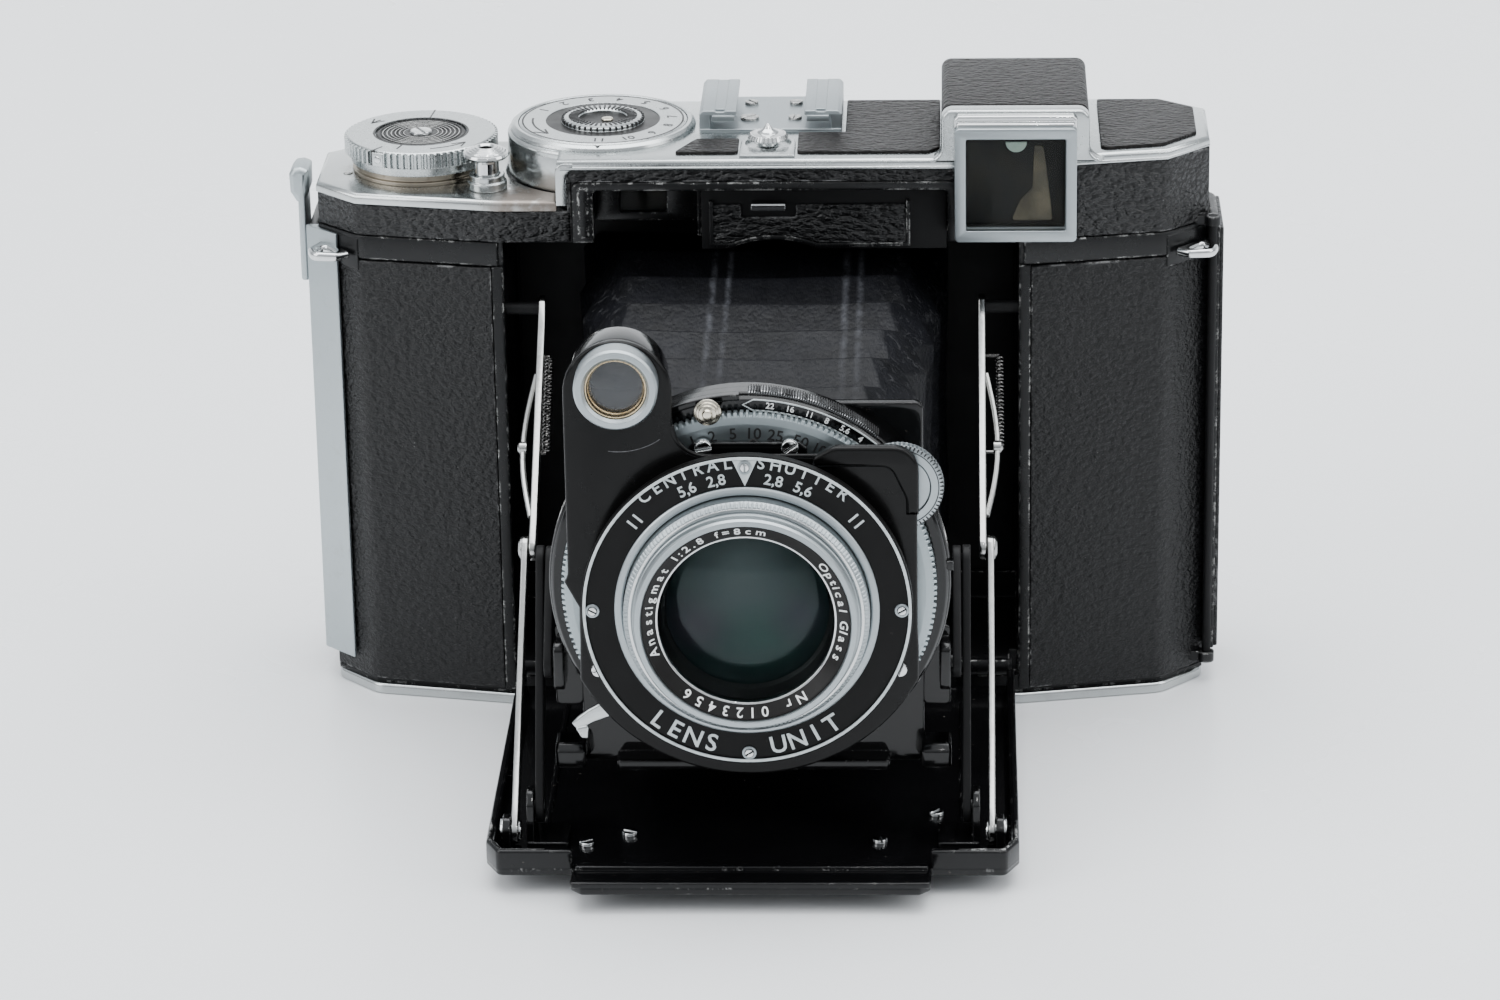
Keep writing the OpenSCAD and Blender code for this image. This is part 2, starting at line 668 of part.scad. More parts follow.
module front_lens() color([0.3, 0.35, 0.38, 0.6]) {
  // front element, domed by 3.2 mm
  translate([0, -72, axis_z]) rotate([90, 0, 0]) rotate_extrude()
    polygon([[0, -2], [13.3, -2], [13.3, 1],
      for (i = [0:8]) [13.2 * (1 - i / 8), 1 + 3.2 * (1 - pow(1 - i / 8, 2))]]);
  lens_disc(-67.2, -63.2, 11);
}
module rear_lens() color([0.12, 0.12, 0.13]) {
  lens_ring(-58.1, -48.6, 14.4, 12.2);
  lens_disc(-52.5, -50, 12.25);
  lens_ring(-58.2, -57.2, 16.2, 14.3);
}
module speed_ring() color([0.72, 0.75, 0.76]) {
  lens_ring(-63.2, -61.0, speed_r - 0.5, 18.0);
  teeth_y([0, axis_z], speed_r - 0.5, -63.2, -61.0, count = 90, width = 0.9, depth = 0.5);
}
module focus_ring() color([0.74, 0.77, 0.77]) lens_ring(-68.9, -66.75, 20.2, 17.75);
module focus_wheel() color([0.74, 0.77, 0.77]) {
  cyly(wheel, -65.2, -63.5, 5.9);
  teeth_y(wheel, 5.9, -65.2, -63.5, count = 34, width = 0.6, depth = 0.5);
  cyly(wheel, -66.0, -65.1, 1.2);
}
module aperture_ring() color([0.08, 0.08, 0.085]) {
  lens_ring(-59.6, -56.9, 28.9, shutter_r + 0.05);
  // ribs on the upper right
  for (a = [52:2:84]) translate([0, -59.6, axis_z]) rotate([0, -a, 0])
    translate([28.85, 0, -0.25]) cube([0.2, 2.7, 0.5]);
}
// Release lever as [x, z]
lever_outline = [[-13.5, 31], [-17, 28.7], [-21.5, 26.3], [-25.6, 22.6], [-25.9, 21.2],
  [-24.6, 20.6], [-23.6, 21.9], [-20.4, 24.4], [-16.4, 25.9], [-12.4, 26.6]];
module release_lever() color([0.75, 0.77, 0.77]) difference() {
  union() {
    slab_y(-63.6, 1.0) polygon(lever_outline);
    cyly(lever, -64.6, -63.6, 2.4);
  }
  cyly(lever, -66, -60, 0.85);
}
// Bellows, as one hollow tapered block
module bellows() color([0.06, 0.065, 0.08]) difference() {
  translate([0, 0, axis_z]) hull() {
    translate([-29.4, 23.4, -27.2]) cube([58.8, 1, 53.4]);
    translate([-21.4, -52.3, -22.5]) cube([42.8, 1, 45]);
  }
  translate([0, 0, axis_z]) hull() {
    translate([-28, 23.9, -25.8]) cube([56, 1, 50.6]);
    translate([-19.8, -52.8, -21]) cube([39.6, 1, 42]);
  }
}

// ---- Back ----
red_x = [-10, 10];
red_z = 30;
cover_shift = -7;     // of the window cover's holes from the red windows
// Plan of the back with its wrapped ends: outside from left to right, then inside
back_plan = [[-70.4, 9.6], [-70.4, 26.4], [-62.6, 33.3], [62.6, 33.3], [70.4, 26.4], [70.4, 9.4],
  [69.0, 9.4], [69.0, 25.8], [62.1, 31.8], [-62.1, 31.8], [-69.0, 25.8], [-69.0, 9.6]];
// Right half of the taller middle part's plan
back_mid_half = [[62.6, 33.3], [66, 30.3], [65.2, 29.2], [62.1, 31.8]];

module back_cover() color([0.08, 0.08, 0.085]) difference() {
  union() {
    prism(back_plan, 5.3, 75.4);
    prism(symmetric(back_mid_half), 2.2, 80.9);
    cylz(back_hinge, 5.3, 75.4, 1.25);
    // light trap
    for (z = [77.6, 10.3]) box([-60.6, 29.4, z], [45, 32, z + 1.1]);
  }
  cylz(back_hinge, 0, 80, back_pin_r + run);
  for (x = red_x) cyly([x, red_z], 30, 36, 3.4);
}
module back_leather() color([0.055, 0.055, 0.06]) difference() {
  box([-61.8, 33.34, 2.8], [61.8, 33.9, 80.3]);
  for (x = red_x) cyly([x, red_z], 30, 36, 4.2);
  box([-22, 30, 24.6], [22.8, 36, 35.4]);
}
module pressure_plate() color([0.1, 0.1, 0.1]) {
  box([-30, 28.4, 15], [30, 29.2, 74.4]);
  // four blocks behind the plate
  for (x = [-18, 18], z = [38, 50]) box([x - 3, 29.2, z], [x + 3, 31.75, z + 1]);
}
module red_window() color([0.6, 0.05, 0.03]) for (x = red_x) cyly([x, red_z], 32.0, 33.0, 3.35);
module window_cover() color([0.7, 0.7, 0.7]) difference() {
  union() {
    box([-21.5, 33.36, 25.4], [15.4, 34.0, 34.6]);
    box([-8, 33.9, 27], [-6, 34.6, 33]);
  }
  for (x = red_x) cyly([x + cover_shift, red_z], 30, 36, 3.4);
}
module back_latch() color([0.75, 0.77, 0.77]) {
  box([-72, 12.6, 66], [-70.5, 19.4, 82]);
  cylx([16, 81.2], -72, -70.5, 3.0);
}

casing();
bottom_plate();
tripod_bush();
front_leather();
band_leather();
recess_trim();
window_glasses();
top_wing();
top_plate();
top_leather();
finder_frame();
accessory_shoe();
shoe_screws();
strap_lugs();
film_gate();
top_collars();
hinge_pins();
film_roller_left();
film_roller_right();
supply_spool();
takeup_spool();
wind_knob();
knob_disc();
counter_dial();
shutter_button();
door_button();
door_catch();
door_shell();
door_leather();
door_screws();
door_brackets();
carrier_link_lower();
carrier_link_upper();
strut_upper();
strut_lower();
strut_springs();
lens_board();
cover_plate();
rangefinder_housing();
shutter_case();
shutter_blades();
faceplate();
faceplate_screws();
lens_bezel();
front_lens();
rear_lens();
aperture_ring();
speed_ring();
focus_ring();
focus_wheel();
rangefinder_wedge();
release_lever();
bellows();
back_cover();
back_leather();
pressure_plate();
red_window();
window_cover();
back_latch();
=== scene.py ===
import bpy, math, json, random
from mathutils import Vector, Matrix
from mathutils.geometry import tessellate_polygon
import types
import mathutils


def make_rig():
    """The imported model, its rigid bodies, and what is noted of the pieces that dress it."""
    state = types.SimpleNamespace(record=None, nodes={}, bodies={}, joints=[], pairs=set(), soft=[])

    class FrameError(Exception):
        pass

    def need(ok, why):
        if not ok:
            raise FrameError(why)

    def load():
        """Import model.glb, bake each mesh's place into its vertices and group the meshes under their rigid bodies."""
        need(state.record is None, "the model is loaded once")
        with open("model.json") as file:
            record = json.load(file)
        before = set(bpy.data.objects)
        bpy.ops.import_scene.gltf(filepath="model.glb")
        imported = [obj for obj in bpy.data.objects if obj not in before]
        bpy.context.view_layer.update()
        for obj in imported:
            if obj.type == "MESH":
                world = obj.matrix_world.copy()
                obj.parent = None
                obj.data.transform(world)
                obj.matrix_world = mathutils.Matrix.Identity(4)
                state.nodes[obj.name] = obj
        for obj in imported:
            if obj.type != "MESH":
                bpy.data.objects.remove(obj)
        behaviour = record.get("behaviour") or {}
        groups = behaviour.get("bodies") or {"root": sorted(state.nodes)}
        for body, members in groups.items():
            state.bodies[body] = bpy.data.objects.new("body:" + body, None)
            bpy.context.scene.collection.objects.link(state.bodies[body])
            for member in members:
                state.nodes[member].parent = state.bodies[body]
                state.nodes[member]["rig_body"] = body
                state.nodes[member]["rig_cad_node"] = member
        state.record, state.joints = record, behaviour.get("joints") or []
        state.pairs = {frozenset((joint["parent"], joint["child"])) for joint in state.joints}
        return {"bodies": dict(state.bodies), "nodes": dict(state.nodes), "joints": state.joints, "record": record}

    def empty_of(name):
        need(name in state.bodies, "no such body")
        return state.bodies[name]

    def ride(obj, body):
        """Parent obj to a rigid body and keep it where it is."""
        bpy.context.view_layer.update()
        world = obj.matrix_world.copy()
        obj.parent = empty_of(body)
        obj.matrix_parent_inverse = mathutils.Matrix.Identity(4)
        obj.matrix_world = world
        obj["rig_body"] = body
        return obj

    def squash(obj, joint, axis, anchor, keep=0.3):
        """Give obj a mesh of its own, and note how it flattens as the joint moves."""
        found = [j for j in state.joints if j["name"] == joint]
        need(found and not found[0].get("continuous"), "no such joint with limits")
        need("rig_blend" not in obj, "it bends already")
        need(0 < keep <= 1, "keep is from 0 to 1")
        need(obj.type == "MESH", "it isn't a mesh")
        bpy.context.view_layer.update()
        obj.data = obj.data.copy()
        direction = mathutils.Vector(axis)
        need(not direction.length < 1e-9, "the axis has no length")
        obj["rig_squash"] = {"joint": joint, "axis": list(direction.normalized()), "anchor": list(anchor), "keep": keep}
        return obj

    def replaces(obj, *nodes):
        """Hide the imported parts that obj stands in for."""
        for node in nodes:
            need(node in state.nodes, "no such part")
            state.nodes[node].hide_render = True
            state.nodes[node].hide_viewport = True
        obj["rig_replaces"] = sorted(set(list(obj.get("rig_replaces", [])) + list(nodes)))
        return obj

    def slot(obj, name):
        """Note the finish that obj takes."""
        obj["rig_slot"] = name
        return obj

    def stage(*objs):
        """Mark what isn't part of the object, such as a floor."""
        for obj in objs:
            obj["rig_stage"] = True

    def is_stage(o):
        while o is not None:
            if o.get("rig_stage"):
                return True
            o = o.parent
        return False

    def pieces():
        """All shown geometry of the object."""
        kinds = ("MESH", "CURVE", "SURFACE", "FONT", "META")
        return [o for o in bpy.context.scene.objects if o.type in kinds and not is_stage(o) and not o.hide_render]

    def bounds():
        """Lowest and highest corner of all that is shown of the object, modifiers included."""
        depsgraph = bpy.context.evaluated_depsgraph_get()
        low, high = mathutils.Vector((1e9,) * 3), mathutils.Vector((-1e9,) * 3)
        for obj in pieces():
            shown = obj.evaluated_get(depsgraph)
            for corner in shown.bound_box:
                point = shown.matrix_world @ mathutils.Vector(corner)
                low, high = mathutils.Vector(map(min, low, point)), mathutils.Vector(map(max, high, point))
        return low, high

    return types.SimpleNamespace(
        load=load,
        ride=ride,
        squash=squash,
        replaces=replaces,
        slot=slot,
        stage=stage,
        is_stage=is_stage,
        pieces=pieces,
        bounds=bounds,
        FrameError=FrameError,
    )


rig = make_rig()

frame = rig.load()
CAD_LO, CAD_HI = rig.bounds()
NODES = frame["nodes"]
COL = bpy.context.scene.collection
MM = 0.001
rng = random.Random(7)
PI = math.pi


# ---------------------------------------------------------------- node helpers
class Mat:
    """A small builder for procedural materials. Coordinates are the object's own, in metres."""

    def __init__(self, name):
        self.m = bpy.data.materials.new(name)
        self.m.use_nodes = True
        self.t = self.m.node_tree
        self.b = self.t.nodes["Principled BSDF"]
        self.out = self.t.nodes["Material Output"]
        self.co = self.t.nodes.new("ShaderNodeTexCoord").outputs["Object"]

    def put(self, sock, v):
        if isinstance(v, bpy.types.NodeSocket):
            self.t.links.new(v, sock)
        elif isinstance(v, (tuple, list)) and len(v) == 3 and sock.type == "RGBA":
            sock.default_value = (*v, 1)
        else:
            sock.default_value = v

    def set(self, **kw):
        for k, v in kw.items():
            self.put(self.b.inputs[k.replace("_", " ")], v)
        return self

    def noise(self, scale, detail=3, rough=0.55, dist=0.0, vec=None):
        n = self.t.nodes.new("ShaderNodeTexNoise")
        self.put(n.inputs["Vector"], vec or self.co)
        self.put(n.inputs["Scale"], scale)
        self.put(n.inputs["Detail"], detail)
        self.put(n.inputs["Roughness"], rough)
        self.put(n.inputs["Distortion"], dist)
        return n.outputs[0]

    def noise_col(self, scale, vec=None):
        n = self.t.nodes.new("ShaderNodeTexNoise")
        self.put(n.inputs["Vector"], vec or self.co)
        self.put(n.inputs["Scale"], scale)
        return n.outputs[1]

    def voro(self, scale, feature="F1", vec=None, rand=1.0):
        n = self.t.nodes.new("ShaderNodeTexVoronoi")
        n.feature = feature
        self.put(n.inputs["Vector"], vec or self.co)
        self.put(n.inputs["Scale"], scale)
        self.put(n.inputs["Randomness"], rand)
        return n.outputs[0]

    def math(self, op, a, b=0.0, clamp=False):
        n = self.t.nodes.new("ShaderNodeMath")
        n.operation = op
        n.use_clamp = clamp
        self.put(n.inputs[0], a)
        self.put(n.inputs[1], b)
        return n.outputs[0]

    def vmath(self, op, a, b=(0, 0, 0)):
        n = self.t.nodes.new("ShaderNodeVectorMath")
        n.operation = op
        self.put(n.inputs[0], a)
        if op == "SCALE":
            self.put(n.inputs["Scale"], b)
        else:
            self.put(n.inputs[1], b)
        return n.outputs["Value"] if op in ("DOT_PRODUCT", "LENGTH", "DISTANCE") else n.outputs[0]

    def ramp(self, f, lo, hi, a=0.0, b=1.0):
        n = self.t.nodes.new("ShaderNodeMapRange")
        n.clamp = True
        for i, v in enumerate((f, lo, hi, a, b)):
            self.put(n.inputs[i], v)
        return n.outputs[0]

    def mix(self, f, a, b):
        n = self.t.nodes.new("ShaderNodeMix")
        n.data_type = "RGBA"
        self.put(n.inputs[0], f)
        self.put(n.inputs[6], a)
        self.put(n.inputs[7], b)
        return n.outputs[2]

    def bump(self, h, strength=0.3, dist=0.0002, normal=None):
        n = self.t.nodes.new("ShaderNodeBump")
        self.put(n.inputs["Height"], h)
        self.put(n.inputs["Strength"], strength)
        self.put(n.inputs["Distance"], dist)
        if normal is not None:
            self.put(n.inputs["Normal"], normal)
        return n.outputs[0]

    def bevel(self, radius):
        n = self.t.nodes.new("ShaderNodeBevel")
        n.samples = 3
        self.put(n.inputs["Radius"], radius)
        return n.outputs[0]

    def edge(self, radius):
        """1 on edges, 0 on faces, and the rounded normal."""
        bn = self.bevel(radius)
        g = self.t.nodes.new("ShaderNodeNewGeometry").outputs["Normal"]
        d = self.vmath("DOT_PRODUCT", bn, g)
        return self.ramp(d, 0.998, 0.94, 0.0, 1.0), bn

    def stretch(self, s):
        n = self.t.nodes.new("ShaderNodeMapping")
        self.put(n.inputs["Vector"], self.co)
        self.put(n.inputs["Scale"], s)
        return n.outputs[0]

    def near(self, p, r):
        """1 at the point p (mm), falling to 0 at r mm."""
        d = self.vmath("DISTANCE", self.co, tuple(c * MM for c in p))
        return self.ramp(d, 0.0, r * MM, 1.0, 0.0)


def metal(name, col, rough=0.25, smudge=0.1, grain=0.0, bump=0.06, edge=0.0, brushed=None, dirt=0.0):
    k = Mat(name)
    big = k.noise(90, 4, 0.6)
    fine = k.noise(2600, 2, 0.6)
    c = k.mix(k.ramp(big, 0.3, 0.75), tuple(x * (1 - smudge) for x in col), col)
    if dirt:
        d = k.math("MULTIPLY", k.ramp(k.noise(420, 5, 0.7), 0.56, 0.72), dirt)
        c = k.mix(d, c, (0.16, 0.13, 0.10))
    r = k.math("ADD", k.ramp(big, 0.25, 0.8, rough - smudge * 0.5, rough + smudge * 0.6), k.ramp(fine, 0.3, 0.7, -0.03, 0.05))
    h = k.noise(1500 if not brushed else 900, 3, 0.7, vec=k.stretch(brushed) if brushed else None)
    sp = k.ramp(k.voro(260), 0.02, 0.06, -1.0, 0.0)
    h = k.math("ADD", h, k.math("MULTIPLY", sp, 0.5))
    k.set(Base_Color=c, Metallic=1.0, Roughness=r, Normal=k.bump(h, bump, 0.0001))
    if edge:
        e, bn = k.edge(edge * MM)
        k.set(Normal=k.bump(h, bump, 0.0001, bn))
    return k


def leather_mat(name, dark, light, scale, depth, wear, stretch=None, rough=(0.42, 0.62), pebble=True, edge_r=0.35, dist=0.00022, spec=0.5):
    k = Mat(name)
    base = k.stretch(stretch) if stretch else k.co
    warp = k.vmath("SCALE", k.vmath("SUBTRACT", k.noise_col(scale * 0.45, base), (0.5, 0.5, 0.5)), 0.9 / scale)
    vec = k.vmath("ADD", base, warp)
    v1 = k.voro(scale, "SMOOTH_F1" if pebble else "F1", vec)
    v2 = k.voro(scale * 2.3, "F1", vec)
    n1 = k.noise(scale * 0.5, 3, 0.5, vec=base)
    h = k.math("ADD", k.math("MULTIPLY", v1, -0.9), k.math("MULTIPLY", v2, -0.35))
    h = k.math("ADD", h, k.math("MULTIPLY", n1, 0.3))
    big = k.math("MULTIPLY", k.noise(45, 4, 0.6), 0.25)
    e, bn = k.edge(edge_r * MM)
    tone = k.ramp(k.math("ADD", h, k.math("MULTIPLY", big, 0.5)), -0.5, 0.7)
    c = k.mix(tone, dark, light)
    c = k.mix(k.ramp(k.noise(130, 5, 0.7), 0.5, 0.75, 0.0, 0.35), c, tuple(x * 0.55 for x in dark))
    # worn edges and rubbed specks
    broken = k.ramp(k.noise(310, 5, 0.75), 0.60 - 0.12 * wear, 0.66 - 0.12 * wear)
    sel = k.ramp(k.noise(38, 2), 0.42, 0.58)
    worn = k.math("MULTIPLY", k.math("MULTIPLY", e, broken), k.math("MULTIPLY", sel, min(1.0, wear)))
    specks = k.math("MULTIPLY", k.ramp(k.noise(1150, 2, 0.5), 0.745, 0.77), k.ramp(k.noise(70, 3), 0.50, 0.62))
    worn = k.math("MAXIMUM", worn, k.math("MULTIPLY", specks, 0.2 * min(1.0, wear)))
    c = k.mix(worn, c, (0.46, 0.46, 0.46))
    r = k.ramp(k.math("ADD", h, big), -0.2, 1.0, rough[0], rough[1])
    k.set(Base_Color=c, Roughness=r, Normal=k.bump(h, depth, dist, bn), Specular_IOR_Level=spec)
    return k


def paint_mat(name, col, rough, wear, edge_r=0.3, coat=0.0, grain=0.12, bare=(0.72, 0.72, 0.70), dust=0.5, spec=0.32, sel_lo=0.34):
    k = Mat(name)
    big = k.noise(60, 4, 0.6)
    e, bn = k.edge(edge_r * MM)
    c = k.mix(k.ramp(big, 0.3, 0.75), tuple(x * 0.7 for x in col), tuple(x * 1.5 for x in col))
    broken = k.ramp(k.noise(430, 6, 0.8), 0.62 - 0.13 * wear, 0.66 - 0.13 * wear)
    sel = k.ramp(k.noise(55, 3), sel_lo, sel_lo + 0.12)
    worn = k.math("MULTIPLY", k.math("MULTIPLY", e, broken), k.math("MULTIPLY", sel, min(1.0, wear)))
    sp = k.math("MULTIPLY", k.ramp(k.noise(900, 3, 0.6), 0.70, 0.74), k.ramp(k.noise(85, 3), 0.48, 0.62))
    sp = k.math("MULTIPLY", sp, 0.6 * dust)
    c = k.mix(sp, c, (0.22, 0.20, 0.17))
    c = k.mix(worn, c, bare)
    r = k.ramp(k.noise(170, 5, 0.7), 0.25, 0.8, max(0.03, rough - 0.07), rough + 0.14)
    h = k.math("ADD", k.noise(700, 3, 0.6), k.math("MULTIPLY", sp, 0.6))
    k.set(Base_Color=c, Roughness=k.math("ADD", r, k.math("MULTIPLY", sp, 0.4)), Normal=k.bump(h, grain, 0.00006, bn),
          Metallic=k.math("MULTIPLY", worn, 0.35), Coat_Weight=coat, Coat_Roughness=0.06, Specular_IOR_Level=spec)
    return k


M = {}
M["chrome"] = metal("satin_chrome", (0.50, 0.52, 0.52), 0.20, 0.14, bump=0.05, edge=0.12, dirt=0.12)
M["chrome_top"] = metal("satin_chrome_top", (0.52, 0.545, 0.545), 0.24, 0.12, bump=0.05, edge=0.12, dirt=0.06)
M["bright"] = metal("bright_chrome", (0.62, 0.63, 0.63), 0.09, 0.06, bump=0.03, edge=0.10, dirt=0.05)
M["strut"] = metal("strut_chrome", (0.42, 0.42, 0.41), 0.17, 0.16, bump=0.06, edge=0.12, dirt=0.25)
M["alu"] = metal("satin_aluminium", (0.36, 0.395, 0.41), 0.38, 0.08, bump=0.08, edge=0.08, dirt=0.04)
M["alu_ring"] = metal("satin_ring", (0.34, 0.385, 0.40), 0.42, 0.08, bump=0.10)
M["steel"] = metal("steel", (0.40, 0.40, 0.39), 0.26, 0.12, bump=0.08, edge=0.10, dirt=0.2)
M["brass"] = metal("brass", (0.62, 0.50, 0.32), 0.26, 0.10, bump=0.06, dirt=0.2)
M["pale_brass"] = metal("nickelled_brass", (0.68, 0.63, 0.52), 0.2, 0.10, bump=0.06, dirt=0.15)
M["spring"] = metal("spring_steel", (0.17, 0.165, 0.16), 0.25, 0.10, bump=0.05)
M["seat"] = metal("tarnished_seat", (0.42, 0.37, 0.30), 0.28, 0.45, bump=0.08, dirt=0.9)
M["knurl"] = metal("dark_knurl", (0.42, 0.43, 0.44), 0.30, 0.15, bump=0.06, dirt=0.2)
M["side_metal"] = metal("grey_side_metal", (0.42, 0.465, 0.48), 0.42, 0.10, bump=0.10, dirt=0.14)

# wing plate: satin chrome with brown tarnish in the corner by the step
k = metal("wing_chrome", (0.50, 0.52, 0.515), 0.20, 0.10, bump=0.05, edge=0.12, dirt=0.12)
tar = k.math("MULTIPLY", k.math("MAXIMUM", k.near((-35, 5, 83), 12), k.near((-53, 18, 83), 13.5)), k.ramp(k.noise(150, 5, 0.7), 0.30, 0.62))
tar = k.math("MULTIPLY", k.ramp(tar, 0.04, 0.4), 0.75)
src = k.b.inputs["Base Color"].links[0].from_socket
k.set(Base_Color=k.mix(tar, src, (0.15, 0.105, 0.075)))
rs = k.b.inputs["Roughness"].links[0].from_socket
k.set(Roughness=k.math("ADD", rs, k.math("MULTIPLY", tar, 0.35)))
M["wing"] = k

M["leather"] = leather_mat("body_leather", (0.0026, 0.0026, 0.0028), (0.0125, 0.0125, 0.0130), 1500, 0.8, 0.8, dist=0.0004, stretch=(0.7, 1.0, 1.0), spec=0.30, rough=(0.42, 0.60))
M["band"] = leather_mat("band_leather", (0.0026, 0.0026, 0.0028), (0.0135, 0.0132, 0.0138), 1250, 0.95, 0.95, stretch=(0.55, 1.0, 1.0), pebble=False, dist=0.0005, rough=(0.34, 0.55), spec=0.36)
M["topleather"] = leather_mat("top_leather", (0.0034, 0.0026, 0.0024), (0.0150, 0.0115, 0.0105), 1250, 0.9, 0.25, stretch=(0.55, 1.0, 1.0), rough=(0.46, 0.66), pebble=False, dist=0.00045, spec=0.18)
M["enamel"] = paint_mat("gloss_black_enamel", (0.0022, 0.0022, 0.0024), 0.10, 0.22, coat=0.25, grain=0.04, dust=0.25, spec=0.22)
M["door"] = paint_mat("door_enamel", (0.0022, 0.0022, 0.0025), 0.13, 0.32, edge_r=0.3, coat=0.15, grain=0.05, dust=0.6, spec=0.22)
M["cover"] = paint_mat("lens_cover_enamel", (0.0024, 0.0023, 0.0023), 0.20, 0.12, coat=0.05, grain=0.05, dust=0.15, spec=0.14)
M["case"] = paint_mat("casing_black", (0.0032, 0.0032, 0.0035), 0.30, 0.7, edge_r=0.45, grain=0.10, dust=0.4, spec=0.24)
M["trim"] = paint_mat("trim_black", (0.0034, 0.0035, 0.0038), 0.26, 0.80, edge_r=0.40, grain=0.12, dust=0.5, spec=0.26, sel_lo=0.40)
M["inner"] = paint_mat("inner_black", (0.0025, 0.0025, 0.0028), 0.55, 0.10, grain=0.2, dust=0.3, spec=0.2)
M["face"] = paint_mat("faceplate_black", (0.0030, 0.0029, 0.0029), 0.36, 0.0, grain=0.05, dust=0.12, spec=0.13)
M["disc"] = paint_mat("black_disc", (0.0052, 0.0046, 0.0044), 0.34, 0.0, grain=0.1, dust=0.4, spec=0.22)

# white filled engraving and black filled engraving
k = Mat("white_fill")
k.set(Base_Color=k.mix(k.ramp(k.noise(900, 4), 0.3, 0.7), (0.72, 0.73, 0.72), (0.88, 0.89, 0.88)), Roughness=k.ramp(k.noise(500), 0.3, 0.7, 0.35, 0.55), Normal=k.bump(k.noise(2000), 0.1, 0.00005))
M["white"] = k
k = Mat("silver_fill")
k.set(Base_Color=k.mix(k.ramp(k.noise(900, 4), 0.3, 0.7), (0.42, 0.46, 0.47), (0.58, 0.62, 0.62)), Metallic=0.25, Roughness=k.ramp(k.noise(500), 0.3, 0.7, 0.3, 0.5), Normal=k.bump(k.noise(2000), 0.1, 0.00005))
M["silver"] = k
k = Mat("black_fill")
k.set(Base_Color=k.mix(k.noise(900, 4), (0.004, 0.004, 0.0045), (0.014, 0.0135, 0.0135)), Roughness=k.ramp(k.noise(500), 0.3, 0.7, 0.4, 0.6), Normal=k.bump(k.noise(2000), 0.1, 0.00005))
M["ink"] = k

# bellows: blue-black coated cloth, pale rubbed streaks in two pairs and scuffed ridges
k = Mat("bellows_leather")
n = k.noise(160, 5, 0.65)
cr = k.noise(420, 5, 0.75, 0.4, vec=k.stretch((1.0, 0.35, 0.6)))
e, bn = k.edge(0.6 * MM)
sep = k.t.nodes.new("ShaderNodeSeparateXYZ")
k.t.links.new(k.co, sep.inputs[0])
bx, by_, bz_ = sep.outputs[0], sep.outputs[1], sep.outputs[2]
c = k.mix(k.ramp(n, 0.3, 0.75), (0.0026, 0.0027, 0.0033), (0.0068, 0.0071, 0.0092))
streak = None
for x0, w_ in ((-7.4, 0.55), (-5.0, 0.5), (13.0, 0.6), (15.2, 0.55)):
    d_ = k.math("ABSOLUTE", k.math("SUBTRACT", bx, x0 * MM))
    s_ = k.ramp(d_, 0.15 * w_ * MM, 1.25 * w_ * MM, 1.0, 0.0)
    streak = s_ if streak is None else k.math("MAXIMUM", streak, s_)
streak = k.math("MULTIPLY", streak, k.ramp(k.noise(380, 5, 0.75), 0.36, 0.62))
streak = k.math("MULTIPLY", streak, k.ramp(by_, -0.047, 0.0, 0.12, 1.0))
streak = k.math("MULTIPLY", streak, k.ramp(bz_, 0.060, 0.0645, 0.0, 1.0))
c = k.mix(k.math("MULTIPLY", streak, 0.75), c, (0.060, 0.062, 0.070))
cx_ = k.ramp(k.math("ABSOLUTE", bx), 0.0165, 0.0215)
crink = k.math("MULTIPLY", cx_, k.ramp(k.noise(520, 6, 0.8, 0.8), 0.56, 0.66))
crink = k.math("MULTIPLY", crink, k.ramp(bz_, 0.055, 0.063, 0.15, 1.0))
c = k.mix(k.math("MULTIPLY", crink, 0.5), c, (0.075, 0.075, 0.08))
c = k.mix(k.math("MULTIPLY", e, k.ramp(k.noise(260, 4, 0.7), 0.45, 0.7, 0.0, 0.22)), c, (0.06, 0.06, 0.065))
h = k.math("ADD", k.math("MULTIPLY", k.voro(1300), -0.25), k.math("ADD", cr, k.math("MULTIPLY", n, 0.9)))
h = k.math("ADD", h, k.math("MULTIPLY", crink, 0.8))
k.set(Base_Color=c, Roughness=k.ramp(cr, 0.3, 0.7, 0.40, 0.58), Normal=k.bump(h, 0.55, 0.0005, bn), Specular_IOR_Level=0.15)
M["bellows"] = k
k = Mat("crease_rub")
c = k.mix(k.ramp(k.noise(600, 5, 0.7), 0.35, 0.65), (0.05, 0.05, 0.055), (0.20, 0.20, 0.21))
k.set(Base_Color=c, Roughness=k.ramp(k.noise(400), 0.3, 0.7, 0.4, 0.6), Normal=k.bump(k.noise(900), 0.3, 0.0001))
M["rub"] = k


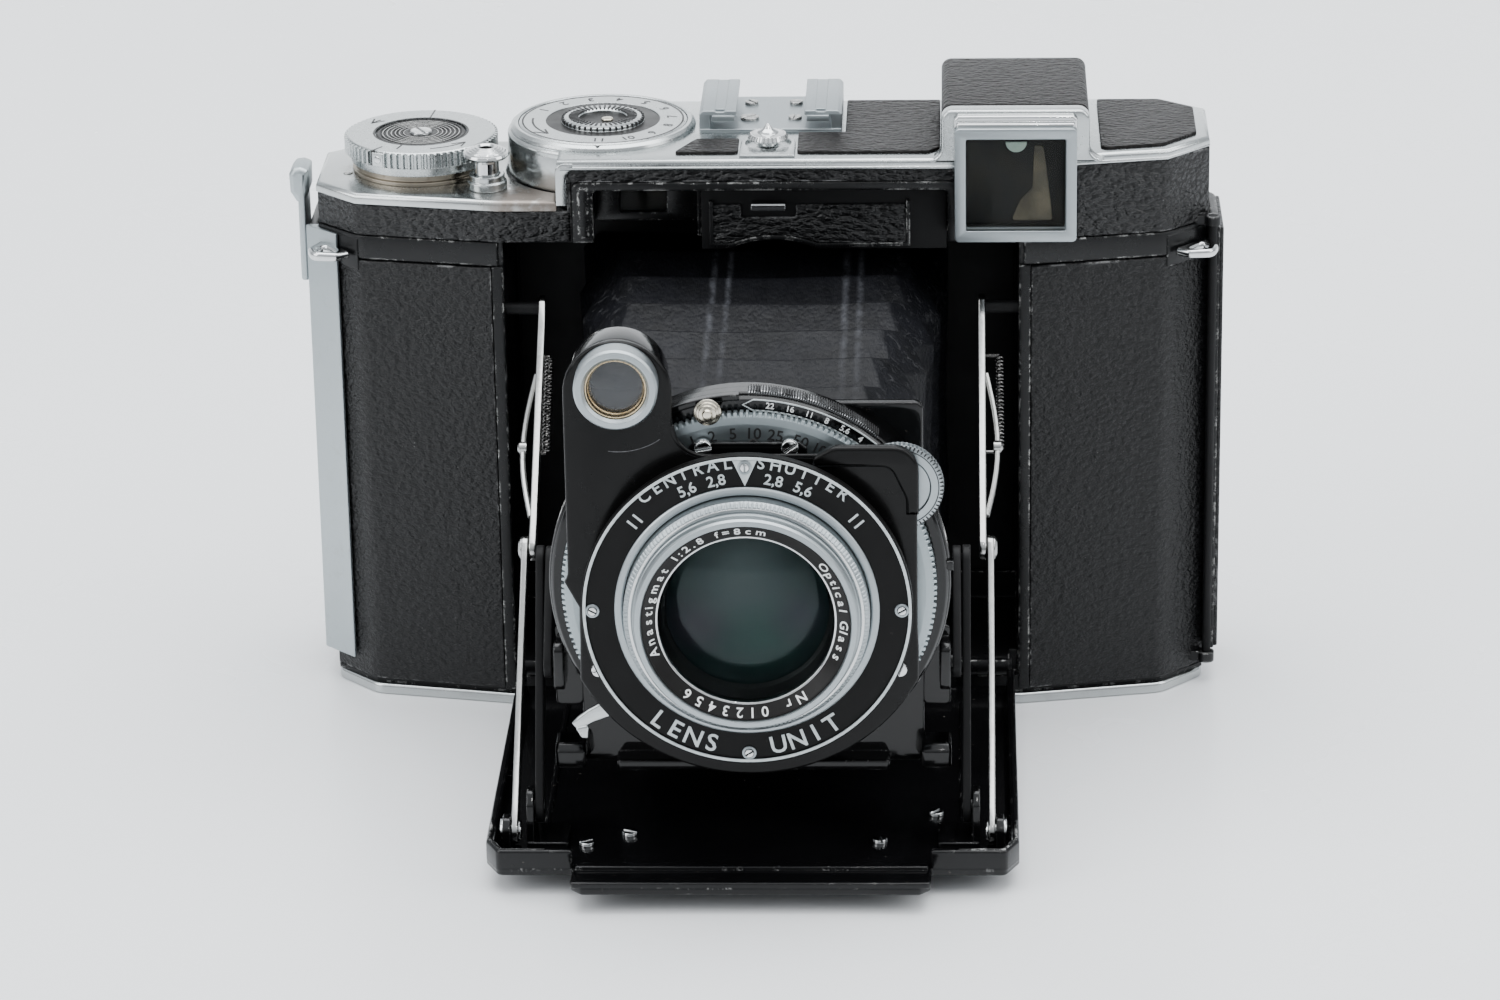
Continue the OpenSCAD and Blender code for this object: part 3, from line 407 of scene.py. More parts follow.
def glass(name, tint, rough=0.02, film=0.0, film_ior=1.4, trans=0.9, smear=0.03, base=None):
    k = Mat(name)
    n = k.noise(120, 4, 0.6)
    sp = k.ramp(k.noise(1700, 2), 0.74, 0.77)
    c = k.mix(k.ramp(n, 0.3, 0.7), tuple(x * 0.9 for x in tint), tint)
    k.set(Base_Color=c, Roughness=k.ramp(n, 0.45, 0.8, rough, rough + smear), Transmission_Weight=trans, IOR=1.52)
    if film:
        k.set(Thin_Film_Thickness=film, Thin_Film_IOR=film_ior)
    lp = k.t.nodes.new("ShaderNodeLightPath")
    tr = k.t.nodes.new("ShaderNodeBsdfTransparent")
    k.put(tr.inputs["Color"], tuple(x ** 0.5 for x in tint))
    mx = k.t.nodes.new("ShaderNodeMixShader")
    k.put(mx.inputs[0], k.math("MAXIMUM", lp.outputs["Is Shadow Ray"], lp.outputs["Is Diffuse Ray"]))
    k.t.links.new(k.b.outputs[0], mx.inputs[1])
    k.t.links.new(tr.outputs[0], mx.inputs[2])
    k.t.links.new(mx.outputs[0], k.out.inputs["Surface"])
    return k


M["lens"] = glass("lens_glass", (0.74, 0.80, 0.80), 0.0, 0.0, 1.4, 1.0, smear=0.0)
M["lens"].set(IOR=1.02)
M["lens2"] = glass("inner_glass", (0.60, 0.66, 0.66), 0.0, 0.0, 1.4, 1.0, smear=0.0)
M["lens2"].set(IOR=1.22)
M["window"] = glass("window_glass", (0.72, 0.74, 0.72), 0.0, 0.0, 1.4, 1.0, smear=0.0)
M["window"].set(IOR=1.15)
M["wedge"] = glass("wedge_glass", (0.34, 0.36, 0.39), 0.0, 0.0, 1.4, 0.94, smear=0.01)
M["wedge"].set(IOR=1.45)
k = Mat("ruby_glass")
k.set(Base_Color=k.mix(k.noise(200, 3), (0.25, 0.006, 0.004), (0.40, 0.012, 0.008)), Roughness=k.ramp(k.noise(300), 0.3, 0.7, 0.05, 0.15), Transmission_Weight=0.4, Normal=k.bump(k.noise(400), 0.03, 0.0001))
M["ruby"] = k
# painted depth and painted reflections for the view into the lens: the dark teal base is painted shade for the lens
# depth, the pale patch at the top is a painted veil of reflected light, and the purple and green blobs are painted
# coating reflections; thin dark lines follow a noise contour
k = Mat("lens_painted_depth_and_reflections")
c = k.mix(k.ramp(k.noise(70, 3), 0.35, 0.65), (0.020, 0.034, 0.034), (0.034, 0.052, 0.052))
c = k.mix(k.near((-1, -63.4, 51.5), 12), c, (0.16, 0.175, 0.178))
c = k.mix(k.math("MULTIPLY", k.near((-7.0, -63.4, 41.5), 6), 0.55), c, (0.085, 0.040, 0.070))
c = k.mix(k.math("MULTIPLY", k.near((2.5, -63.4, 39.5), 7), 0.6), c, (0.018, 0.075, 0.062))
c = k.mix(k.math("MULTIPLY", k.near((7.5, -63.4, 43.0), 5), 0.45), c, (0.075, 0.045, 0.080))
line = k.math("ABSOLUTE", k.math("SUBTRACT", k.noise(55, 2, 0.5, 0.0), 0.52))
c = k.mix(k.ramp(line, 0.0, 0.006, 0.5, 0.0), c, (0.006, 0.006, 0.006))
k.set(Base_Color=c, Roughness=k.ramp(k.noise(160), 0.3, 0.7, 0.15, 0.4), Normal=k.bump(k.noise(300), 0.05, 0.0002))
M["depth"] = k
# opaque stand-in for the inner glass with painted reflections and painted shade: the dark teal base is painted depth,
# the pale patch at the top is a painted reflection, and the purple and green blobs are painted coating reflections
k = Mat("dome_painted_reflections")
c = k.mix(k.ramp(k.noise(70, 3), 0.35, 0.65), (0.0095, 0.0165, 0.0165), (0.017, 0.026, 0.026))
c = k.mix(k.near((-1, -71.4, 52.5), 11), c, (0.085, 0.096, 0.097))
c = k.mix(k.math("MULTIPLY", k.near((-7.5, -71.4, 43.0), 6), 0.5), c, (0.050, 0.024, 0.042))
c = k.mix(k.math("MULTIPLY", k.near((2.0, -71.4, 41.0), 7), 0.6), c, (0.010, 0.045, 0.036))
c = k.mix(k.math("MULTIPLY", k.near((7.5, -71.4, 44.0), 5), 0.45), c, (0.042, 0.026, 0.048))
k.set(Base_Color=c, Roughness=k.ramp(k.noise(160), 0.3, 0.7, 0.05, 0.08), Specular_IOR_Level=0.34)
M["dome"] = k
k = Mat("finder_inside")
c = k.mix(k.ramp(k.noise(140, 4, 0.6), 0.45, 0.65), (0.006, 0.006, 0.006), (0.022, 0.019, 0.015))
k.set(Base_Color=c, Roughness=k.ramp(k.noise(160), 0.3, 0.7, 0.5, 0.75), Normal=k.bump(k.noise(600), 0.2, 0.0002), Specular_IOR_Level=0.25)
M["finder_in"] = k
k = Mat("prism_brown")
c = k.mix(k.ramp(k.noise(190, 5, 0.7), 0.35, 0.65), (0.045, 0.036, 0.024), (0.16, 0.13, 0.085))
k.set(Base_Color=c, Roughness=k.ramp(k.noise(160), 0.3, 0.7, 0.3, 0.6), Normal=k.bump(k.noise(600), 0.2, 0.0002))
M["prism"] = k
k = Mat("green_glow")
k.set(Base_Color=k.mix(k.noise(700, 3), (0.45, 0.60, 0.52), (0.65, 0.78, 0.70)), Roughness=k.ramp(k.noise(160), 0.3, 0.7, 0.2, 0.4), Normal=k.bump(k.noise(600), 0.05, 0.0001))
M["green"] = k


# ---------------------------------------------------------------- mesh helpers
PLANES = {
    "XY": Matrix(((1, 0, 0), (0, 1, 0), (0, 0, 1))),
    "XZ": Matrix(((1, 0, 0), (0, 0, -1), (0, 1, 0))),
    "YZ": Matrix(((0, 0, 1), (1, 0, 0), (0, 1, 0))),
}
MADE = {}


def finish_mesh(name, verts, faces, mat, body, smooth=None, angle=38, replaces=()):
    me = bpy.data.meshes.new(name)
    me.from_pydata([tuple(c * MM for c in v) for v in verts], [], faces)
    me.validate()
    fl = [True] * len(me.polygons) if smooth is None else smooth
    if len(fl) == len(me.polygons):
        me.polygons.foreach_set("use_smooth", fl)
    me.update()
    me.set_sharp_from_angle(angle=math.radians(angle))
    ob = bpy.data.objects.new(name, me)
    mats = mat if isinstance(mat, (list, tuple)) else [mat]
    for m in mats:
        me.materials.append(M[m].m)
    COL.objects.link(ob)
    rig.ride(ob, body)
    if replaces:
        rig.replaces(ob, *replaces)
    MADE[name] = ob
    return ob


def area(L):
    return 0.5 * sum(L[i][0] * L[(i + 1) % len(L)][1] - L[(i + 1) % len(L)][0] * L[i][1] for i in range(len(L)))


def clean(L):
    out = []
    for p in L:
        if not out or math.dist(p, out[-1]) > 1e-4:
            out.append(tuple(p))
    while len(out) > 1 and math.dist(out[0], out[-1]) < 1e-4:
        out.pop()
    return out


def inset(L, d):
    n = len(L)
    out = []
    for i in range(n):
        a, b, c = L[i - 1], L[i], L[(i + 1) % n]
        u = Vector((b[0] - a[0], b[1] - a[1])).normalized()
        v = Vector((c[0] - b[0], c[1] - b[1])).normalized()
        n1, n2 = Vector((-u.y, u.x)), Vector((-v.y, v.x))
        m = n1 + n2
        q = 1 + n1.dot(n2)
        m = m / max(q, 0.35)
        out.append((b[0] + m.x * d, b[1] + m.y * d))
    return out


def prism(loops, lo, hi, bev=0.15, res=3, plane="XY", bot=None):
    """Vertices, faces and smooth flags of an extruded outline with holes and rounded rims."""
    L = [clean(l) for l in loops]
    L[0] = L[0] if area(L[0]) > 0 else L[0][::-1]
    for i in range(1, len(L)):
        L[i] = L[i] if area(L[i]) < 0 else L[i][::-1]
    bb = bev if bot is None else bot
    lim = (hi - lo) * 0.49
    bev, bb = min(bev, lim), min(bb, lim)
    rows = []
    for i in range(res + 1):
        a = i / res * PI / 2
        rows.append((bb * (1 - math.sin(a)), lo + bb * (1 - math.cos(a))))
    for i in range(res + 1):
        a = i / res * PI / 2
        rows.append((bev * (1 - math.cos(a)), hi - bev * (1 - math.sin(a))))
    V, F, S = [], [], []
    starts = []
    for l in L:
        base = len(V)
        starts.append(base)
        n = len(l)
        for d, h in rows:
            V += [(x, y, h) for x, y in inset(l, d)]
        for r in range(len(rows) - 1):
            for i in range(n):
                j = (i + 1) % n
                F.append((base + r * n + i, base + r * n + j, base + (r + 1) * n + j, base + (r + 1) * n + i))
                S.append(True)
    for top in (False, True):
        row = len(rows) - 1 if top else 0
        pts, idx = [], []
        for l, base in zip(L, starts):
            n = len(l)
            ids = list(range(base + row * n, base + (row + 1) * n))
            idx += ids
            pts.append([Vector((V[q][0], V[q][1], 0)) for q in ids])
        for t in tessellate_polygon(pts):
            a, b, c = (idx[q] for q in t)
            ax = (V[b][0] - V[a][0]) * (V[c][1] - V[a][1]) - (V[c][0] - V[a][0]) * (V[b][1] - V[a][1])
            if abs(ax) < 1e-12:
                continue
            if (ax > 0) != top:
                a, b, c = a, c, b
            F.append((a, b, c))
            S.append(False)
    R = PLANES[plane]
    V = [tuple(R @ Vector(v)) for v in V]
    return V, F, S


def plate(name, loops, a, b, mat, body, plane="XY", bev=0.15, res=3, bot=None, replaces=(), angle=38):
    """Flat piece between a and b on the axis across the plane (world y for XZ)."""
    if plane == "XZ":
        lo, hi = -max(a, b), -min(a, b)
    else:
        lo, hi = min(a, b), max(a, b)
    V, F, S = prism(loops, lo, hi, bev, res, plane, bot)
    return finish_mesh(name, V, F, mat, body, S, angle, replaces)


def multi(name, parts, mat, body, replaces=(), angle=38):
    """Several prisms or lathes as one piece. parts: (V, F, S[, material index])."""
    V, F, S, I = [], [], [], []
    for p in parts:
        o = len(V)
        V += p[0]
        F += [tuple(q + o for q in f) for f in p[1]]
        S += p[2]
        I += [p[3] if len(p) > 3 else 0] * len(p[1])
    ob = finish_mesh(name, V, F, mat, body, S, angle, replaces)
    if len(I) == len(ob.data.polygons):
        ob.data.polygons.foreach_set("material_index", I)
    return ob


def arc(cx, cy, r, a0, a1, n=12):
    return [(cx + r * math.cos(math.radians(a0 + (a1 - a0) * i / n)), cy + r * math.sin(math.radians(a0 + (a1 - a0) * i / n))) for i in range(n + 1)]


def circle(cx, cy, r, n=64):
    return arc(cx, cy, r, 0, 360, n)[:-1]


def rpoly(P, r=1.0, n=5):
    """Polygon with rounded corners. r is one radius, or a list with one per corner."""
    out = []
    m = len(P)
    for i in range(m):
        rr = r[i] if isinstance(r, (list, tuple)) else r
        a, b, c = Vector(P[i - 1]), Vector(P[i]), Vector(P[(i + 1) % m])
        u, v = (a - b).normalized(), (c - b).normalized()
        ang = u.angle(v, PI)
        if rr <= 0 or ang > PI - 0.02:
            out.append(tuple(b))
            continue
        t = min(rr / math.tan(ang / 2), (a - b).length * 0.49, (c - b).length * 0.49)
        rr2 = t * math.tan(ang / 2)
        cen = b + (u + v).normalized() * (rr2 / math.sin(ang / 2))
        p0, p1 = b + u * t - cen, b + v * t - cen
        a0 = math.atan2(p0.y, p0.x)
        d = math.atan2(p0.x * p1.y - p0.y * p1.x, p0.dot(p1))
        for q in range(n + 1):
            w = a0 + d * q / n
            out.append((cen.x + rr2 * math.cos(w), cen.y + rr2 * math.sin(w)))
    return clean(out)


def rrect(x0, y0, x1, y1, r=0.5, n=5):
    return rpoly([(x0, y0), (x1, y0), (x1, y1), (x0, y1)], r, n)


def fillet(prof, r=0.12, n=3, closed=True, support=0.05):
    """Rounds the corners of a lathe profile and adds a support point on each side of them."""
    out = []
    m = len(prof)
    for i in range(m):
        p = prof[i]
        rr = p[2] if len(p) > 2 else r
        b = Vector(p[:2])
        if not closed and i in (0, m - 1):
            out.append(tuple(b))
            continue
        a, c = Vector(prof[i - 1][:2]), Vector(prof[(i + 1) % m][:2])
        la, lc = (a - b).length, (c - b).length
        if la < 1e-6 or lc < 1e-6:
            out.append(tuple(b))
            continue
        u, v = (a - b) / la, (c - b) / lc
        ang = u.angle(v, PI)
        if rr <= 0 or ang > PI - 0.05 or b.x < 1e-6:
            out.append(tuple(b))
            continue
        t = min(rr / math.tan(ang / 2), la * 0.45, lc * 0.45)
        rr2 = t * math.tan(ang / 2)
        cen = b + (u + v).normalized() * (rr2 / math.sin(ang / 2))
        p0, p1 = b + u * t - cen, b + v * t - cen
        a0 = math.atan2(p0.y, p0.x)
        d = math.atan2(p0.x * p1.y - p0.y * p1.x, p0.dot(p1))
        if la * 0.45 - t > support:
            q = b + u * (t + support)
            out.append((q.x, q.y))
        for q in range(n + 1):
            w = a0 + d * q / n
            out.append((cen.x + rr2 * math.cos(w), cen.y + rr2 * math.sin(w)))
        if lc * 0.45 - t > support:
            q = b + v * (t + support)
            out.append((q.x, q.y))
    return out


def turn(prof, c, axis="Y", seg=96, closed=True, rmod=None, a0=0.0, a1=360.0):
    """Lathe. prof is (r, h) points in mm, h along the axis in world values. c is the centre on the other two axes.
    rmod(r, h, angle) may change the radius. a0 and a1 limit it to a sector, whose ends are then closed."""
    full = abs(a1 - a0) >= 359.9
    n = seg if full else seg + 1
    V, F = [], []
    idx = []
    for (r, h) in prof:
        row = []
        if r < 1e-6:
            V.append((0.0, 0.0, h))
            row = [len(V) - 1] * n
        else:
            for s in range(n):
                t = math.radians(a0 + (a1 - a0) * s / seg)
                rr = rmod(r, h, t) if rmod else r
                V.append((rr * math.cos(t), rr * math.sin(t), h))
                row.append(len(V) - 1)
        idx.append(row)
    m = len(prof)
    for i in range(m if closed else m - 1):
        A, B = idx[i], idx[(i + 1) % m]
        for s in range(seg):
            t = (s + 1) % n if full else s + 1
            f = []
            for q in (A[s], A[t], B[t], B[s]):
                if q not in f:
                    f.append(q)
            if len(f) > 2:
                F.append(tuple(f))
    S = [True] * len(F)
    if not full and closed:
        pts = [Vector((p[0], p[1], 0)) for p in prof]
        for end in (0, n - 1):
            for tri in tessellate_polygon([pts]):
                f = [idx[q][end] for q in tri]
                if len(set(f)) == 3:
                    F.append(tuple(f if end else f[::-1]))
                    S.append(False)
    out = []
    for (x, y, h) in V:
        if axis == "Y":
            out.append((c[0] + x, h, c[1] + y))
        elif axis == "Z":
            out.append((c[0] + x, c[1] + y, h))
        else:
            out.append((h, c[0] + x, c[1] + y))
    return out, F, S


def fix(part):
    """Turns all faces of a closed part outward."""
    V, F, S = part[:3]
    vol = 0.0
    for f in F:
        a = Vector(V[f[0]])
        for i in range(1, len(f) - 1):
            vol += a.dot(Vector(V[f[i]]).cross(Vector(V[f[i + 1]])))
    if vol < 0:
        F = [tuple(f[::-1]) for f in F]
    return (V, F, S) + tuple(part[3:])


def lathe(name, prof, c, mat, body, axis="Y", seg=96, r=0.12, closed=True, rmod=None, replaces=(), n=3, angle=38, a0=0.0, a1=360.0):
    p = fillet(prof, r, n, closed)
    return multi(name, [fix(turn(p, c, axis, seg, closed, rmod, a0, a1))], mat, body, replaces, angle)


def tooth(n, depth, lo=None, hi=None, rmin=0.0, duty=0.5):
    """Radius change for n straight ribs where h is inside lo..hi."""
    def f(r, h, t):
        if r < rmin or (lo is not None and not (lo <= h <= hi)):
            return r
        p = (t * n / (2 * PI)) % 1.0
        return r - (depth if p > duty else 0.0)
    return f


def rbox(name, lo, hi, mat, body, bev=0.2, plane="XY", r=0.0, replaces=(), res=3):
    ax = {"XY": (0, 1, 2), "XZ": (0, 2, 1), "YZ": (1, 2, 0)}[plane]
    u, v, w = ax
    L = rrect(lo[u], lo[v], hi[u], hi[v], r, 4) if r > 0 else [(lo[u], lo[v]), (hi[u], lo[v]), (hi[u], hi[v]), (lo[u], hi[v])]
    return plate(name, [L], lo[w], hi[w], mat, body, plane, bev, res, replaces=replaces)


def pbox(lo, hi, bev=0.2, plane="XY", r=0.0, mi=0, res=3):
    u, v, w = {"XY": (0, 1, 2), "XZ": (0, 2, 1), "YZ": (1, 2, 0)}[plane]
    L = rrect(lo[u], lo[v], hi[u], hi[v], r, 4) if r > 0 else [(lo[u], lo[v]), (hi[u], lo[v]), (hi[u], hi[v]), (lo[u], hi[v])]
    a, b = (lo[w], hi[w]) if plane != "XZ" else (-hi[w], -lo[w])
    return prism([L], a, b, bev, res, plane) + (mi,)


def pp(loops, a, b, bev=0.15, plane="XY", mi=0, res=3):
    if plane == "XZ":
        a, b = -max(a, b), -min(a, b)
    return prism(loops, min(a, b), max(a, b), bev, res, plane) + (mi,)


def pt(prof, c, axis="Y", seg=64, r=0.1, closed=True, rmod=None, mi=0, n=3, a0=0.0, a1=360.0):
    return fix(turn(fillet(prof, r, n, closed), c, axis, seg, closed, rmod, a0, a1)) + (mi,)


def sweep(pts, rad, n=8, closed=False, mi=0):
    """Round wire along points in mm."""
    P = [Vector(p) for p in pts]
    m = len(P)
    V, F = [], []
    up = None
    for i in range(m):
        if closed:
            t = (P[(i + 1) % m] - P[i - 1]).normalized()
        else:
            t = (P[min(i + 1, m - 1)] - P[max(i - 1, 0)]).normalized()
        if up is None:
            up = t.orthogonal().normalized()
        up = (up - t * up.dot(t)).normalized()
        side = t.cross(up)
        r = rad(i / (m - 1)) if callable(rad) else rad
        for q in range(n):
            a = 2 * PI * q / n
            V.append(tuple(P[i] + up * (r * math.cos(a)) + side * (r * math.sin(a))))
    for i in range(m if closed else m - 1):
        j = (i + 1) % m
        for q in range(n):
            w = (q + 1) % n
            F.append((i * n + q, i * n + w, j * n + w, j * n + q))
    if not closed:
        F.append(tuple(range(n))[::-1])
        F.append(tuple((m - 1) * n + q for q in range(n)))
    return fix((V, F, [True] * len(F))) + (mi,)


def coil(a, b, turns, R, r, n=6):
    A, B = Vector(a), Vector(b)
    d = (B - A)
    t = d.normalized()
    u = t.orthogonal().normalized()
    v = t.cross(u)
    k = int(turns * 12)
    return sweep([A + d * (i / k) + u * (R * math.cos(2 * PI * turns * i / k)) + v * (R * math.sin(2 * PI * turns * i / k)) for i in range(k + 1)], r, n)


def screw(c, axis, base, top, rad, slot=0.0, mi=0, dome=0.25, w=0.14):
    """Slotted screw head between base and top on the axis (top is the outer end)."""
    s = 1 if top > base else -1
    hs = abs(top - base)
    mid = base + s * hs * 0.55
    parts = []
    low = [(0, base), (rad, base), (rad, mid), (0, mid)]
    parts.append(pt(low, c, axis, 28, 0.05, mi=mi, n=2))
    for side in (0, 1):
        a = math.degrees(math.asin(min(0.9, w * rad / rad)))
        L = arc(0, 0, rad, a, 180 - a, 14)
        ang = math.radians(slot + 180 * side)
        L = [(x * math.cos(ang) - y * math.sin(ang) + c[0], x * math.sin(ang) + y * math.cos(ang) + c[1]) for x, y in L]
        pl = {"Y": "XZ", "Z": "XY", "X": "YZ"}[axis]
        parts.append(pp([L], mid, top, min(dome * rad * 0.5, 0.2), pl, mi, 3))
    return parts


def glyphs(name, items, mat, body, depth=0.04, replaces=()):
    """items: (text, size mm, 4x4 placement in mm). The letters are thin raised solids."""
    V, F = [], []
    for s, size, mx in items:
        cu = bpy.data.curves.new("t", "FONT")
        cu.body = s
        cu.size = size
        cu.align_x = "CENTER"
        cu.align_y = "CENTER"
        cu.extrude = depth / 2
        cu.resolution_u = 3
        cu.offset = size * 0.012
        ob = bpy.data.objects.new("t", cu)
        me = bpy.data.meshes.new_from_object(ob)
        o = len(V)
        V += [tuple(mx @ v.co) for v in me.vertices]
        F += [tuple(q + o for q in p.vertices) for p in me.polygons]
        bpy.data.objects.remove(ob)
        bpy.data.curves.remove(cu)
        bpy.data.meshes.remove(me)
    return finish_mesh(name, V, F, mat, body, [False] * len(F), 30, replaces)


def on_ring(c, r, deg, y, flip=False):
    """Placement on a ring round a Y axis, seen from the front, tops outward."""
    a = math.radians(deg)
    up = Vector((math.cos(a), 0, math.sin(a)))
    xx = Vector((math.sin(a), 0, -math.cos(a)))
    pos = Vector((c[0], y, c[1])) + up * r
    if flip:
        up, xx = -up, -xx
    zz = xx.cross(up)
    return Matrix(((xx.x, up.x, zz.x, pos.x), (xx.y, up.y, zz.y, pos.y), (xx.z, up.z, zz.z, pos.z), (0, 0, 0, 1)))


def on_top(c, r, deg, z, rot=0.0):
    """Placement on a ring round a Z axis, tops toward the centre when rot is 0."""
    a = math.radians(deg)
    b = a + PI + math.radians(rot)
    up = Vector((math.cos(b), math.sin(b), 0))
    xx = Vector((math.sin(b), -math.cos(b), 0))
    pos = Vector((c[0] + r * math.cos(a), c[1] + r * math.sin(a), z))
    return Matrix(((xx.x, up.x, 0, pos.x), (xx.y, up.y, 0, pos.y), (xx.z, up.z, 1, pos.z), (0, 0, 0, 1)))

# ---------------------------------------------------------------- shared places, mm
AX = (0.0, 44.7)          # lens axis, x z
KN = (-53.0, 18.0)        # wind knob, x y
DI = (-24.7, 18.0)        # counter dial
SB = (-42.0, 7.0)         # shutter button
DB = (1.2, 7.0)           # door button
H = (-0.4, 6.9)
P = (-60.1, 9.5)
MJ = (-45.8, 42.3)
Q = (-54.8, 30.1)
A = (2.6, 64.9)
K = (-29.0, 37.7)
D = (-62.0, 6.5)


def cad_mat(node, mat):
    o = NODES[node]
    o.data.materials.clear()
    o.data.materials.append(M[mat].m)


for n_, m_ in {"casing": "case", "tripod_bush": "steel", "film_gate": "inner", "hinge_pins": "inner", "film_roller_left": "alu",
               "film_roller_right": "alu", "supply_spool": "disc", "takeup_spool": "disc", "pressure_plate": "disc", "red_window": "ruby",
               "rear_lens": "face", "shutter_blades": "steel"}.items():
    cad_mat(n_, m_)

# ---------------------------------------------------------------- base and covering
OUT0 = [(-40, -0.3), (40, -0.3), (62, 4.0), (68.6, 10.58), (68.6, 25.6), (62, 31.4), (-62, 31.4), (-68.6, 25.6), (-68.6, 10.58), (-62, 4.0)]
plate("bottom_rim", [rpoly(OUT0, [2, 2, 4, 3, 3, 3, 3, 3, 3, 4], 5), circle(0, 17, 5.25, 40)], 0.0, 1.7, "chrome", "casing", bev=0.5, bot=0.25, res=4, replaces=("bottom_plate",))
lathe("bush_ring", [(2.75, 0.02), (5.1, 0.02), (5.1, 0.6), (2.75, 0.6)], (0, 17), "steel", "casing", "Z", 48)


def front_strip(s, x0, z0, z1, name, mat, body="casing", t=0.72, bev=0.28, out=0.0, replaces=()):
    """Covering that follows the front of the body from x0 to the side wall."""
    o = [(x0, 0.10 - out), (62, 4.28 - out), (68.62, 10.72 - out * 0.4)]
    i = [(68.62, 10.98), (62, 4.28 + t), (x0, 0.10 + t)]
    L = rpoly(o + i, [0, 5, 0, 0, 5, 0], 8)
    L = [(s * x, y) for x, y in L]
    return plate(name, [L], z0, z1, mat, body, bev=bev, res=3, replaces=replaces)


front_strip(-1, 41.3, 2.5, 72.2, "front_leather_left", "leather", replaces=("front_leather",))
front_strip(1, 41.3, 2.5, 72.2, "front_leather_right", "leather")
front_strip(-1, 40.2, 72.5, 76.2, "front_rail_left", "trim", bev=0.16, t=0.68)
front_strip(1, 40.2, 72.5, 76.2, "front_rail_right", "trim", bev=0.16, t=0.68)
# worn upright strips beside the opening
for s, nm in ((-1, "left"), (1, "right")):
    rbox("opening_edge_" + nm, (min(s * 39.45, s * 41.15), 0.02, 2.4), (max(s * 39.45, s * 41.15), 0.9, 72.4), "trim", "casing", 0.16, "XZ")

# band under the top plates
LB = rpoly([(-40, 0.02), (-28.75, 0.02), (-28.75, 0.7), (-40, 0.7), (-62, 4.99), (-68.6, 10.97), (-68.6, 10.65), (-62, 4.25)], [6, 0, 0, 6, 5, 0, 0, 5], 6)
plate("band_left", [LB], 76.35, 81.35, "band", "casing", bev=0.25, replaces=("band_leather",))
RB = rpoly([(48.15, 1.63), (62, 4.25), (68.6, 10.65), (68.6, 10.97), (62, 4.99), (48.15, 2.35)], [0, 5, 0, 0, 5, 0], 6)
plate("band_right", [RB], 76.35, 87.9, "band", "casing", bev=0.25)
# narrow leather between the recess frame and the chrome, up the step and across
plate("band_middle", [[(-29.3, 81.3), (-29.3, 76.35), (-28.72, 76.35), (-28.72, 85.98), (29.5, 85.98), (29.5, 87.95), (-29.3, 87.95)]], 0.02, 0.7, "band", "casing", "XZ", bev=0.1)
rbox("band_under_finder", (30.2, 0.06, 76.4), (48.1, 0.7, 87.9), "band", "casing", 0.12, "XZ")

# recess frame, with the inner wall and its leather
fr = [rpoly([(-28.55, 76.3), (-28.55, 85.85), (30.05, 85.85), (30.05, 76.3), (28.55, 76.3), (28.55, 84.55), (-25.45, 84.55), (-25.45, 76.3)], [0, 1.2, 1.2, 0, 0, 0.8, 0.8, 0], 5)]
parts = [pp(fr, -0.05, 0.7, 0.16, "XZ")]
parts.append(pp([rpoly([(-27.6, 77.2), (-27.6, 85.0), (-26.2, 85.0), (-26.2, 77.2)], 0.2, 2)], -0.18, 0.0, 0.08, "XZ"))
multi("recess_frame", parts, "trim", "casing", replaces=("recess_trim",))
arch = arc(2.0, 58.5, 16.6, 66.5, 113.5, 16)
wall = [(28.4, 73.7), (28.4, 84.4), (-9.1, 84.4), (-9.1, 73.7)]
wl = [(-9.1, 73.7)] + arch[::-1] + [(28.4, 73.7), (28.4, 84.4), (-9.1, 84.4)]
plate("recess_wall", [wl], 4.5, 5.5, "inner", "casing", "XZ", bev=0.12)
ll = [(-7.6, 74.9)] + arc(2.0, 58.9, 17.3, 67.5, 112.5, 16)[::-1] + [(22.2, 74.9), (22.2, 81.0), (5.4, 81.0), (5.4, 79.0), (-3.0, 79.0), (-3.0, 81.0), (-7.6, 81.0)]
plate("recess_leather", [rpoly(ll, 0.3, 2)], 4.0, 4.55, "band", "casing", "XZ", bev=0.2)
lipL = [(-7.9, 74.4)] + arc(2.0, 58.6, 16.9, 67, 113, 16)[::-1] + [(22.8, 74.4), (22.8, 81.6), (22.2, 81.6), (22.2, 74.9)] + arc(2.0, 58.9, 17.25, 67.5, 112.5, 16) + [(-7.3, 74.9), (-7.3, 81.6), (-7.9, 81.6)]
plate("recess_lip", [lipL], 3.75, 4.5, "trim", "casing", "XZ", bev=0.08)
# rangefinder window with its frame
multi("rf_window_frame", [pp([rrect(-26.3, 74.6, -9.9, 84.3, 0.5), rrect(-22.4, 75.9, -15.0, 83.0, 0.5)], 16.15, 17.0, 0.12, "XZ"),
                          pbox((-9.95, 9.0, 74.4), (-9.25, 17.0, 84.4), 0.15), pbox((-27.1, 9.0, 74.4), (-26.25, 17.0, 84.4), 0.15)], "trim", "casing")
multi("rf_window_glass", [pp([rrect(-22.5, 75.8, -14.9, 83.1, 0.3)], 16.9, 17.45, 0.12, "XZ")], "window", "casing", replaces=("window_glasses",))
multi("rf_window_back", [pp([rrect(-22.9, 75.4, -14.5, 83.5, 0.3)], 17.6, 18.2, 0.1, "XZ")], "finder_in", "casing")
# catch bar
multi("catch", [pbox((-1.4, 2.6, 80.4), (3.8, 8.2, 81.6), 0.22), pbox((-0.4, 5.8, 81.4), (2.8, 8.2, 84.7), 0.15)], "bright", "door_catch", replaces=("door_catch",))

